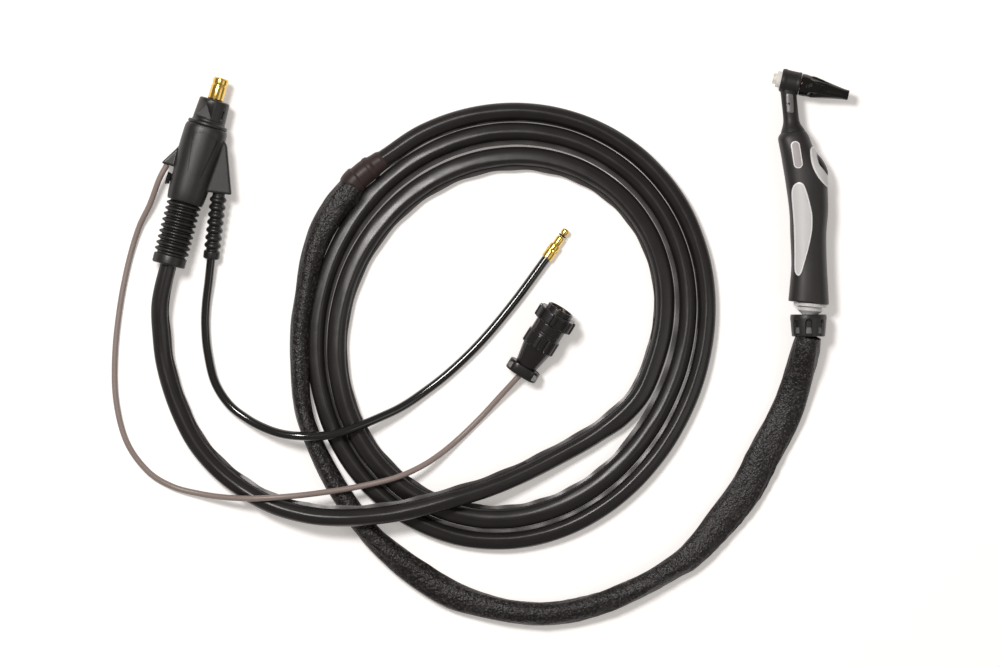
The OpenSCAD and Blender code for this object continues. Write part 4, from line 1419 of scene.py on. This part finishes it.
    def button_blank(self, grow: float) -> bpy.types.Object:
        """Returns the button's oval prism, grown by some mm, along its own axis.

        Args:
            grow: How much it grows.

        Returns:
            The prism.
        """
        bm = bmesh.new()
        add_rod(bm, 1.0, -6.5, 9.0, 64)
        for vert in bm.verts:
            vert.co.x *= self.button_half[0] + grow
            vert.co.y *= self.button_half[1] + grow
        return finish_piece(bm, "button_blank", CAP, self.button_frame())

    def button_frame(self) -> Matrix:
        """Returns the button's frame: +Z out of the handle and +Y along it.

        Returns:
            The frame as a matrix in mm.
        """
        turn = Matrix.Rotation(math.radians(self.button_dir), 4, "Z")
        rise = Matrix.Rotation(math.radians(90.0 - self.button_pitch), 4, "Y")
        return Matrix.Translation(self.button) @ turn @ rise

    def trigger(self) -> None:
        """Draws the glossy domed button."""
        bm = bmesh.new()
        bmesh.ops.create_uvsphere(bm, u_segments=64, v_segments=32, radius=1.0)
        for vert in bm.verts:
            x, y, z = vert.co
            r = min(1.0, math.hypot(x, y))
            top = self.button_dome * (1.0 - r * r) ** 0.5
            vert.co = (x * self.button_half[0], y * self.button_half[1],
                       0.2 + top if z > 0 else -2.2 + 0.4 * z)
        piece = finish_piece(bm, "trigger_lens", LENS, self.button_frame(), smooth_deg=60.0)
        ride(piece, "button", "plug_black", "trigger_button")

    def head_shell(self) -> None:
        """Draws the head's drum, its lip and the neck as one melted skin."""
        frame = frame_at(self.head, self.head_dir)
        low = -self.head_half - 1.2
        drum = lathe(rounded([
            (0, low), (self.head_r - 0.3, low), (self.lip_r, -7.3), (self.lip_r, -5.2),
            (self.head_r, -4.4), (self.head_r, 5.0), (self.lip_r - 0.1, 5.8),
            (self.lip_r - 0.1, self.head_half), (0, self.head_half)], 0.8), 96)
        piece = finish_piece(drum, "head_skin", HEAD, frame)
        neck = self.loft(self.neck, 0.0, "neck_blank", HEAD, sides=64, bulge=0.92)
        boolean_cut(piece, neck, "UNION")
        remesh(piece, self.melt_step, 5)
        ride(piece, "torch", "head_rubber", "head_cover")

    def cap(self) -> None:
        """Draws the tapered back cap with its leaf-shaped scallops."""
        length, wide, tip = self.cap_l, self.cap_r, self.cap_tip_r
        profile = dense(rounded([
            (0, 0.3), (wide, 0.3), (wide + 0.5, 1.0), (wide + 0.5, 5.0), (wide + 0.2, 6.2),
            (wide - 0.1, 12.0), (tip + 2.6, 26.0), (tip + 0.6, 38.0), (tip + 0.4, length - 0.2),
            (tip - 0.1, length), (0, length)], 0.7, 4), 0.6)

        def scallop(r: float, angle: float, z: float) -> float:
            """Returns the radius with the flutes cut in.

            Args:
                r: The radius, in mm.
                angle: The angle round the axis, in radians.
                z: The place along the axis, in mm.

            Returns:
                The new radius.
            """
            t = (z - self.flute_from) / self.flute_l
            if t <= 0.0 or t >= 1.0:
                return r
            half = self.flute_half * (1.0 - t) ** 0.5 * min(1.0, t / 0.14) ** 0.5
            pitch = math.tau / self.flutes
            edge = abs(off_centre(angle + self.flute_lean * t, pitch)) / max(half, 1e-3)
            fade = min(1.0, 2.0 * (1.0 - t)) * min(1.0, t / 0.12)
            inside = max(0.0, 1.0 - edge * edge) ** 0.6
            bead = math.exp(-(((edge - 1.12) / 0.13) ** 2))
            return r + (self.bead_h * bead - self.flute_depth * inside) * fade

        bm = lathe(profile, 210, scallop)
        frame = frame_at(self.head, self.head_dir) @ Matrix.Translation((0, 0, self.head_half))
        ride(finish_piece(bm, "cap_skin", CAP, frame, smooth_deg=44.0), "cap", "cap_black",
             "back_cap")

    def neck_plate(self) -> None:
        """Draws the small plate let into the neck."""
        x, (y0, y1) = self.plate_x, self.plate_y
        outline = [(x - 2.6, y1 - 1), (x - 1.6, y1), (x + 2.4, y1), (x + 3.4, y1 - 1),
                   (x + 4.0, y0 + 1), (x + 3.2, y0), (x - 1.0, y0), (x - 2.0, y0 + 1)]
        plate = finish_piece(prism(outline, self.middle_z, 30.0), "neck_badge", PLATE)
        skin = self.loft(self.neck, -0.22, "neck_skin", PLATE, bulge=0.92)
        boolean_cut(plate, skin, "INTERSECT")
        boolean_cut(plate, self.loft(self.neck, 0.9, "neck_core", PLATE, bulge=0.92), "DIFFERENCE")
        soften_rims(plate, 0.2)
        ride(plate, "torch", "plate_grey", "neck_plate")

    def swivel(self) -> None:
        """Draws the fluted nut."""
        step = math.tau / self.nut_notches
        front, back = self.nut_front, self.nut_front - self.nut_l

        def flute(r: float, angle: float, z: float) -> float:
            """Returns the nut's radius with its scoops cut in.

            Args:
                r: The radius, in mm.
                angle: The angle round the axis, in radians.
                z: The place along the axis, in mm.

            Returns:
                The new radius.
            """
            if r < self.nut_bore:
                return r
            depth = front - self.notch_from - z
            if depth <= 0.0:
                return r
            half = self.notch_half * min(1.0, depth / 3.4) ** 0.5
            inside = max(0.0, 1.0 - (off_centre(angle, step) / half) ** 2)
            return r - self.notch_depth * min(1.0, 3.0 * inside) * min(1.0, depth / 1.6)

        profile = dense(rounded([
            (11.2, front - 1.6), (12.2, front), (self.nut_r - 0.3, front),
            (self.nut_r, front - 3.2), (self.nut_r - 0.4, front - 10.0),
            (self.nut_back_r + 0.15, back + 0.7), (self.nut_back_r - 0.6, back), (9.4, back),
            (9.4, front - 9.0), (11.2, front - 1.6)], 0.9), 0.55)
        bm = lathe(profile[:-1] + [profile[0]], 256, flute)
        frame = frame_at(self.nut, 90.0)
        ride(finish_piece(bm, "swivel_skin", SHELL, frame, smooth_deg=34.0), "cable_set",
             "connector_black", "swivel_nut")

    def build(self) -> None:
        """Draws the torch's pieces."""
        self.head_shell()
        self.cap()
        self.neck_plate()
        self.shells()
        self.trims()
        self.trigger()
        self.swivel()


@dataclass
class Connector:
    """The rear connector: body, nose, pin, boots and outlet."""

    sections: tuple[tuple[float, ...], ...] = (
        (-1.5, -17.2, 17.2, 16.4, 0), (-4, -18.2, 18.2, 17.0, 0), (-8, -18.6, 18.6, 17.2, 0),
        (-24, -18.6, 18.6, 17.2, 0), (-45, -17.4, 17.4, 16.8, 0), (-60, -16.6, 16.6, 16.2, 0),
        (-67.5, -15.7, 15.7, 15.3, 0), (-69, -15.1, 15.1, 14.8, 0),
    )
    gas_fin: tuple[Point, ...] = (
        (10, -7), (17.4, -8.8), (21, -12.5), (36.5, -51.4), (15.9, -54.9), (10, -54))
    lead_fin: tuple[Point, ...] = (
        (-10, -20), (-17.5, -22), (-20.2, -27.6), (-28.7, -42.4), (-10, -42.4))
    panel: tuple[Point, ...] = (
        (-9.6, -9.2), (0, -7.5), (12.9, -10.9), (7.8, -44.7), (-1.5, -44.9), (-4.7, -42.5))
    triangle: tuple[Point, ...] = ((-5.2, 15.9), (-11.5, 5.6), (1.8, 5.3))
    slot: tuple[tuple[float, ...], ...] = ((9.5, 7.6, 6.0), (10.9, 14.6, 26.0))
    nose_l: float = 21.8
    nose_r: float = 14.2
    shoulder_r: float = 17.2
    pin_r: float = 6.7
    pin_l: float = 19.5
    knob_pos: float = -53.0
    melt_step: float = 0.42
    half_gap: float = 0.07

    def plan(self) -> Matrix:
        """Returns the body's frame: +Y towards the pin, +X right and +Z up."""
        return plan_frame(CONNECTOR, CONNECTOR_DIR)

    def axis(self) -> Matrix:
        """Returns the pin's frame: +Z out along the pin."""
        return frame_at(CONNECTOR, CONNECTOR_DIR)

    def blank(self, inset: float, name: str) -> bpy.types.Object:
        """Draws the body's plain barrel in its own frame, inset by some mm."""
        return Torch(middle_z=0.0).loft(self.sections, inset, name, SHELL, bulge=0.85)

    def slab(self, outline: Sequence[Point], thick: float, middle: float,
             name: str) -> bpy.types.Object:
        """Draws one fin of the connector, with rounded rims."""
        bm = prism(outline, middle - thick / 2, middle + thick / 2)
        bevel_edges(bm, 1.4, 20.0, 3)
        return finish_piece(bm, name, SHELL)

    def halves(self) -> list[bpy.types.Object]:
        """Draws the two moulded halves with fins, panel and parting line.

        Returns:
            The upper and the lower half.
        """
        body = self.blank(0.0, "connector_skin")
        boolean_cut(body, self.slab(self.gas_fin, 17.0, 0.0, "gas_fin"), "UNION")
        boolean_cut(body, self.slab(self.lead_fin, 10.0, -1.5, "lead_fin"), "UNION")
        remesh(body, self.melt_step, 7)
        pocket = finish_piece(prism(self.panel, 3.0, 40.0), "panel_cut", SHELL)
        boolean_cut(pocket, self.blank(0.9, "panel_floor"), "DIFFERENCE")
        boolean_cut(body, pocket, "DIFFERENCE")
        body.data.transform(Matrix.Scale(1.0 / MM, 4))
        made = []
        for side, name in ((1, "upper"), (-1, "lower")):
            bm = bmesh.new()
            bm.from_mesh(body.data)
            keep_side(bm, self.half_gap * side, side, 1e-6)
            piece = finish_piece(bm, f"moulding_{name}", SHELL, self.plan(), smooth_deg=40.0)
            made.append(ride(piece, "cable_set", "connector_black", f"connector_shell_{name}"))
        bpy.data.objects.remove(body)
        return made

    def nose(self) -> bpy.types.Object:
        """Draws the shoulder ring and the nose with its mark and slot.

        Returns:
            The piece.
        """
        wide, r, end = self.shoulder_r, self.nose_r, self.nose_l
        bm = lathe(rounded([
            (0, -1.4), (wide - 0.5, -1.4), (wide, -0.9), (wide, 0.8), (wide - 0.6, 1.5),
            (r + 0.7, 1.6), (r, 2.6), (r, 3.6), (r - 0.35, 4.0), (r, 4.4), (r - 1.0, end - 1.0),
            (r - 2.2, end), (self.pin_r + 1.6, end), (self.pin_r + 1.2, end - 1.2),
            (0, end - 1.2)], 0.5), 96)
        piece = finish_piece(bm, "nose_skin", SHELL, self.axis())
        mark = finish_piece(prism(self.triangle, 3.0, 14.1), "mark", SHELL, self.plan())
        boolean_cut(piece, mark, "UNION")
        slot = box(*self.slot)
        boolean_cut(piece, finish_piece(slot, "slot_cut", SHELL, self.plan()), "DIFFERENCE")
        return ride(piece, "cable_set", "connector_black", "connector_nose")

    def pin(self) -> bpy.types.Object:
        """Draws the turned pin with its grooves and bore.

        Returns:
            The piece.
        """
        r, root = self.pin_r, self.nose_l
        end, groove = root + self.pin_l, root + 12.4
        bm = lathe(rounded([
            (0, root - 2.0), (r - 0.3, root - 2.0), (r - 0.3, root + 0.5), (r, root + 0.8),
            (r, groove), (r - 0.5, groove + 0.4), (r - 0.5, groove + 1.3), (r, groove + 1.7),
            (r, end - 1.2), (r - 1.1, end), (2.6, end), (2.2, end - 0.6), (2.2, end - 9.0),
            (0, end - 9.0)], 0.25, 2), 96)
        piece = finish_piece(bm, "pin_skin", BRASS, self.axis())
        return ride(piece, "cable_set", "brass", "power_pin")

    def boot(self, name: str, node: str, frame: Matrix, outer: float, core: float, collar: float,
             collar_l: float, length: float, ribs: int, root: float) -> bpy.types.Object:
        """Draws a ribbed strain relief that runs back along -Z of its frame.

        Args:
            name: The piece's name.
            node: The CAD node that it replaces.
            frame: Its frame, with +Z towards the connector.
            outer: The ribs' radius, in mm.
            core: The radius between the ribs.
            collar: The end collar's radius.
            collar_l: The collar's length.
            length: The whole length.
            ribs: How many ribs it has.
            root: How far it reaches into the connector.

        Returns:
            The boot.
        """
        pitch = (length - collar_l - 1.0) / ribs
        outline: list[Point] = [(0, root), (core, root), (core, -0.6)]
        for i in range(ribs):
            z = -0.6 - i * pitch
            outline += [(outer - 0.25, z - 0.26 * pitch), (outer, z - 0.42 * pitch),
                        (outer - 0.25, z - 0.6 * pitch), (core, z - 0.8 * pitch),
                        (core, z - 0.95 * pitch)]
        low = -length
        outline += [(core, low + collar_l), (collar, low + collar_l - 0.7), (collar, low + 1.0),
                    (collar - 1.1, low), (0, low)]
        bm = lathe(rounded(outline, 0.9, 3), 96)
        piece = finish_piece(bm, name, BOOT, frame, smooth_deg=50.0)
        return ride(piece, "cable_set", "boot_black", node)

    def knob(self) -> bpy.types.Object:
        """Draws the small locking knob on the side.

        Returns:
            The piece.
        """
        bm = bmesh.new()
        add_rod(bm, 1.9, -17.2, -15.0, 32)
        add_rod(bm, 5.8, -20.95, -17.15, 4, 4.6)
        bevel_edges(bm, 0.5, 30.0, 2)
        turn = Matrix.Rotation(math.pi / 2, 4, "Y")
        frame = self.plan() @ Matrix.Translation((0, self.knob_pos, 0)) @ turn
        return ride(finish_piece(bm, "knob_skin", SHELL, frame), "cable_set", "connector_black",
                    "lock_knob")

    def build(self) -> list[bpy.types.Object]:
        """Draws the connector and returns its pieces.

        Returns:
            The pieces.
        """
        halves = self.halves()
        main = self.boot("boot_skin", "main_boot", frame_at(BOOT_FACE, BOOT_DIR), outer=15.0,
                         core=12.2, collar=14.35, collar_l=9.0, length=BOOT_L, ribs=9, root=2.0)
        gas = self.boot("gas_boot_skin", "gas_boot",
                        frame_at(GAS_OUT, GAS_OUT_DIR, GAS_OUT_PITCH), outer=7.25, core=5.3,
                        collar=7.0, collar_l=7.5, length=GAS_BOOT_L, ribs=7, root=4.5)
        return [main, gas, self.nose(), self.pin(), self.knob(), *halves]


@dataclass
class GasPlug:
    """The push-in plug on the gas hose."""

    ferrule_r: float = 4.8
    ferrule_l: float = 14.0
    dimples: int = 6
    dimple_at: float = 8.5
    dimple_r: float = 1.7
    dimple_depth: float = 0.7
    stem_r: float = 3.5
    stem_l: float = 8.0

    def frame(self) -> Matrix:
        """Returns its frame: +Z out of the hose."""
        return frame_at(GAS_PLUG, GAS_PLUG_DIR)

    def ferrule(self) -> bpy.types.Object:
        """Draws the crimped ferrule with its row of dimples.

        Returns:
            The piece.
        """
        def dimple(r: float, angle: float, z: float) -> float:
            """Returns the radius with the crimp's dimples pressed in.

            Args:
                r: The radius, in mm.
                angle: The angle round the axis, in radians.
                z: The place along the axis, in mm.

            Returns:
                The new radius.
            """
            off = off_centre(angle, math.tau / self.dimples)
            away = math.hypot(off * self.ferrule_r, z - self.dimple_at) / self.dimple_r
            return r - (self.dimple_depth * (1 - away ** 2) if away < 1 and r > 4.0 else 0.0)

        wide, end = self.ferrule_r, self.ferrule_l
        bm = lathe(dense(rounded([
            (0, 0.2), (3.6, 0.2), (3.9, 0.0), (wide - 0.3, 0.0), (wide, 0.5), (wide, end - 0.6),
            (wide - 0.5, end), (0, end)], 0.3, 2), 0.4), 120, dimple)
        piece = finish_piece(bm, "ferrule_skin", BRASS_PLAIN, self.frame(), smooth_deg=50.0)
        return ride(piece, "cable_set", "brass", "gas_ferrule")

    def stem(self) -> bpy.types.Object:
        """Draws the turned stem, its neck and its head.

        Returns:
            The piece.
        """
        a = self.ferrule_l
        b = a + self.stem_l
        bm = lathe(rounded([
            (0, a - 1.0), (self.stem_r, a - 1.0), (self.stem_r, b - 0.4), (self.stem_r - 0.4, b),
            (2.15, b), (2.15, b + 3.2), (3.1, b + 3.2), (3.3, b + 3.5), (3.3, b + 6.9),
            (2.5, b + 8.0), (1.4, b + 8.0), (1.4, b + 3.0), (0, b + 3.0)], 0.2, 2), 72)
        return ride(finish_piece(bm, "stem_skin", BRASS, self.frame()), "cable_set", "brass",
                    "gas_plug")

    def build(self) -> list[bpy.types.Object]:
        """Draws the plug and returns its pieces."""
        return [self.ferrule(), self.stem()]


@dataclass
class ControlPlug:
    """The multi-pin plug on the control lead."""

    clamp_l: float = 9.5
    clamp_w: float = 29.0
    clamp_h: float = 20.0
    cone_end: float = 27.7
    grip_end: float = 40.0
    grip_r: float = 14.8
    ring_at: float = 51.4
    ring_end: float = 62.2
    ring_r: float = 17.7
    shell_end: float = 66.8
    barrel_r: float = 11.85
    lugs: int = 10
    lug_h: float = 1.6
    lug_half: float = 0.205
    grooves: int = 16
    groove_half: float = 0.085
    groove_depth: float = 1.1

    def frame(self) -> Matrix:
        """Returns its frame: +Z out of the lead."""
        return frame_at(PLUG_BACK, PLUG_DIR, PLUG_PITCH)

    def clamp(self) -> bpy.types.Object:
        """Draws the two jaws of the cable clamp as one block with a gap line.

        Returns:
            The piece.
        """
        reach = (self.clamp_w - self.clamp_h) / 2
        outline = stadium(((0.0, -reach), (0.0, reach)), self.clamp_h / 2, 16)
        bm = prism(outline, 0.0, self.clamp_l)
        bevel_edges(bm, 1.2, 40.0, 3)
        piece = finish_piece(bm, "clamp_skin", PLUG, self.frame(), smooth_deg=45.0)
        gap = box((-0.35, -20.0, -2.0), (0.35, 20.0, self.clamp_l + 2.0))
        boolean_cut(piece, finish_piece(gap, "clamp_cut", PLUG, self.frame()), "DIFFERENCE")
        return ride(piece, "cable_set", "plug_black", "cable_clamp")

    def backshell(self) -> bpy.types.Object:
        """Draws the cone, the knurled grip and the barrel behind the ring.

        Returns:
            The piece.
        """
        def knurl(r: float, angle: float, z: float) -> float:
            """Returns the radius with the grip's grooves cut in.

            Args:
                r: The radius, in mm.
                angle: The angle round the axis, in radians.
                z: The place along the axis, in mm.

            Returns:
                The new radius.
            """
            if not self.cone_end + 0.8 < z < self.grip_end - 0.6 or r < 13.6:
                return r
            off = off_centre(angle, math.tau / self.grooves)
            return r - self.groove_depth * max(0.0, 1.0 - (off / self.groove_half) ** 2) ** 0.7

        a, c, g = self.clamp_l, self.cone_end, self.grip_end
        bm = lathe(dense(rounded([
            (0, a), (9.0, a), (9.6, a + 0.6), (12.9, c - 0.6), (13.0, c), (self.grip_r - 0.3, c),
            (self.grip_r, c + 0.7), (self.grip_r, g - 0.7), (self.grip_r - 0.4, g), (13.5, g),
            (13.5, g + 3.0), (13.2, g + 3.3), (13.5, g + 3.6), (13.5, self.ring_at - 0.3),
            (0, self.ring_at - 0.3)], 0.35, 2), 0.8), 240, knurl)
        piece = finish_piece(bm, "backshell_skin", PLUG, self.frame())
        return ride(piece, "cable_set", "plug_black", "plug_backshell")

    def ring(self) -> bpy.types.Object:
        """Draws the bayonet ring with its square lugs.

        Returns:
            The piece.
        """
        a, b = self.ring_at, self.ring_end
        step = math.tau / self.lugs

        def lug(r: float, angle: float, z: float) -> float:
            """Returns the radius between and on the lugs.

            Args:
                r: The radius, in mm.
                angle: The angle round the axis, in radians.
                z: The place along the axis, in mm.

            Returns:
                The new radius.
            """
            if r < self.barrel_r + 2.5:
                return r
            off = abs(angle % step - step / 2)
            rise = min(1.0, max(0.0, (self.lug_half - off) / 0.03))
            return r - self.lug_h * (1.0 - rise)

        inner = self.barrel_r + 0.15
        bm = lathe(dense(rounded([
            (inner, a + 0.3), (inner + 0.5, a), (self.ring_r - 0.8, a), (self.ring_r, a + 0.9),
            (self.ring_r, b - 0.9), (self.ring_r - 0.8, b), (inner + 0.5, b), (inner, b - 0.4),
            (inner, a + 0.3)], 0.4, 2), 1.0), 300, lug)
        piece = finish_piece(bm, "ring_skin", PLUG, self.frame())
        return ride(piece, "plug_ring", "plug_black", "coupling_ring")

    def barrel(self) -> bpy.types.Object:
        """Draws the open barrel in front of the ring.

        Returns:
            The piece.
        """
        r, end = self.barrel_r, self.shell_end
        bm = lathe(rounded([
            (9.95, 47.0), (r - 0.05, 47.0), (r - 0.05, end - 0.7), (r - 0.5, end),
            (10.5, end), (10.0, end - 0.5), (9.95, 47.0)], 0.25, 2), 96)
        piece = finish_piece(bm, "barrel_skin", PLUG, self.frame())
        return ride(piece, "cable_set", "plug_black", "plug_shell")

    def build(self) -> list[bpy.types.Object]:
        """Draws the plug and returns its pieces."""
        return [self.clamp(), self.backshell(), self.ring(), self.barrel()]


CAD_FINISH = (
    (COPPER, ("head_core", "neck_tube", "collet", "cable_crimp")),
    (WHITE, ("insulator_ring",)),
    (GLARE_PALE_BRASS, ("collet_body",)),
    (SEAL, ("cap_oring", "neck_rivet", "plug_oring")),
    (STEEL, ("trigger_spring", "handle_screws", "shell_screws", "clamp_screws")),
    (OFF_BLACK, ("micro_switch", "plug_insert")),
    (INNER, ("power_hose",)),
    (TRIM, ("ball_neck",)),
    (BEARING, ("ball_seat", "ball_race")),
    (BRASS_PLAIN, ("gas_outlet", "contact_pins")),
)


def dress_frame(nodes: dict[str, bpy.types.Object]) -> None:
    """Gives every CAD node that stays in sight its finish.

    Args:
        nodes: The frame's nodes by name.
    """
    for finish, names in CAD_FINISH:
        for name in names:
            materials = nodes[name].data.materials
            materials.clear()
            materials.append(finish.material())


@dataclass
class Studio:
    """The camera over the bench, the white floor and the soft lights."""

    centre: tuple[float, float] = (-264.4, -110.9)
    height: float = 9000.0
    mm_per_px: float = 0.85
    picture_px: float = 1000.0
    sensor: float = 36.0
    aim_z: float = 10.0
    clip_end: float = 20.0
    floor_half: float = 6000.0
    floor_lift: float = 0.28
    floor_glow: tuple[float, ...] = (1.0, 0.955, 0.915, 1.0)
    surround: float = 0.24
    surround_tint: tuple[float, ...] = (1.0, 0.93, 0.87, 1.0)
    lamp_tint: tuple[float, ...] = (1.0, 0.967, 0.95)
    lamps: tuple[tuple[str, Sequence[float], float, float], ...] = (
        ("soft_box", (-880, 950, 2600), 640, 60.5),
        ("fill_box", (1700, -500, 1900), 1400, 6.0),
    )

    def camera(self) -> None:
        """Hangs the camera straight over the middle, with +Y up in the picture."""
        data = bpy.data.cameras.new("overhead")
        data.sensor_width = self.sensor
        width = self.mm_per_px * self.picture_px
        data.lens = self.sensor * (self.height - self.aim_z) / width
        data.clip_end = self.clip_end
        camera = bpy.data.objects.new("overhead", data)
        camera.location = Vector((*self.centre, self.height)) * MM
        bpy.context.scene.collection.objects.link(camera)
        bpy.context.scene.camera = camera

    def floor(self) -> None:
        """Lays a wide floor that is seen as white and keeps the object's shadow."""
        bm = bmesh.new()
        bmesh.ops.create_grid(bm, x_segments=1, y_segments=1, size=self.floor_half)
        floor = finish_piece(bm, "bench_top", WHITE)
        for vert in floor.data.vertices:
            vert.co.x += self.centre[0] * MM
            vert.co.y += self.centre[1] * MM
            vert.co.z = BENCH_Z
        floor.data.materials.clear()
        floor.data.materials.append(self.floor_material())

    def floor_material(self) -> bpy.types.Material:
        """Returns the floor's matte white, lifted a little where it is seen.

        Returns:
            The material.
        """
        g = Graph("bench_white")
        tone = g.noise(g.place(), 3.0, 2.0)
        g.put(g.surface.inputs["Base Color"], g.mix(tone, (0.94, 0.94, 0.94), (0.97, 0.97, 0.97)))
        g.put(g.surface.inputs["Roughness"], 0.9)
        g.put(g.surface.inputs["Specular IOR Level"], 0.1)
        rays = g.add("ShaderNodeLightPath", {}, {}).outputs
        seen = Expr(g, rays["Is Camera Ray"]) + Expr(g, rays["Is Glossy Ray"])
        lift = (seen + Expr(g, rays["Is Transmission Ray"])) * self.floor_lift
        glow = g.add("ShaderNodeEmission", {}, {"Color": self.floor_glow, "Strength": lift})
        both = g.add("ShaderNodeAddShader", {}, {0: g.surface.outputs[0], 1: glow.outputs[0]})
        g.put(g.output.inputs["Surface"], both.outputs[0])
        return g.material

    def world(self) -> None:
        """Sets a soft pale surround, white where it is seen."""
        world = bpy.data.worlds.new("surround")
        world.use_nodes = True
        bpy.context.scene.world = world
        tree = world.node_tree
        tree.nodes.clear()
        output = tree.nodes.new("ShaderNodeOutputWorld")
        seen = tree.nodes.new("ShaderNodeBackground")
        seen.inputs[1].default_value = 1.0
        lit = tree.nodes.new("ShaderNodeBackground")
        lit.inputs[0].default_value = self.surround_tint
        lit.inputs[1].default_value = self.surround
        ray = tree.nodes.new("ShaderNodeLightPath")
        mix = tree.nodes.new("ShaderNodeMixShader")
        tree.links.new(ray.outputs["Is Camera Ray"], mix.inputs[0])
        tree.links.new(lit.outputs[0], mix.inputs[1])
        tree.links.new(seen.outputs[0], mix.inputs[2])
        tree.links.new(mix.outputs[0], output.inputs[0])

    def lamp(self, name: str, place: Sequence[float], size: float, power: float) -> None:
        """Hangs a square soft box that faces the middle of the bench.

        Args:
            name: Its name.
            place: Where it hangs, in mm from the middle.
            size: Its side, in mm.
            power: Its power, in watts.
        """
        data = bpy.data.lights.new(name, "AREA")
        data.size = size * MM
        data.energy = power
        data.color = self.lamp_tint
        light = bpy.data.objects.new(name, data)
        middle = Vector((*self.centre, 0.0)) * MM
        light.location = middle + Vector(place) * MM
        light.rotation_euler = (middle - light.location).to_track_quat("-Z", "Y").to_euler()
        bpy.context.scene.collection.objects.link(light)

    def build(self) -> None:
        """Sets up the view, the floor and the lights."""
        self.camera()
        self.floor()
        self.world()
        for lamp in self.lamps:
            self.lamp(*lamp)
        bpy.context.scene.view_settings.view_transform = "Standard"


def main() -> None:
    """Builds the dressed torch, one sub-assembly after another."""
    logging.basicConfig(level=logging.INFO, format="%(name)s: %(message)s")
    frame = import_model()
    nodes = frame["nodes"]
    Studio().build()
    cables = Cables()
    gas, gas_path = cables.gas()
    lead, lead_path = cables.lead()
    leather, leather_path = cables.leather()
    collar = cables.collar()
    sheath = cables.sheath()
    Torch().build()
    connector = Connector().build()
    gas_plug = GasPlug().build()
    plug = ControlPlug().build()
    dress_frame(nodes)
    within = [nodes[n] for n in ("cable_crimp", "shell_screws", "gas_outlet")]
    cables.declare(leather, leather_path, cables.leather_d, [collar])
    cables.declare(sheath, cables.sheath_path(), cables.sheath_d,
                   connector + within)
    cables.declare(gas, gas_path, cables.gas_d, gas_plug + [nodes["plug_oring"]])
    cables.declare(lead, lead_path, cables.lead_d,
                   plug + [nodes[n] for n in ("clamp_screws", "plug_insert", "contact_pins")])
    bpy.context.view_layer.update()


if __name__ == "__main__":
    main()
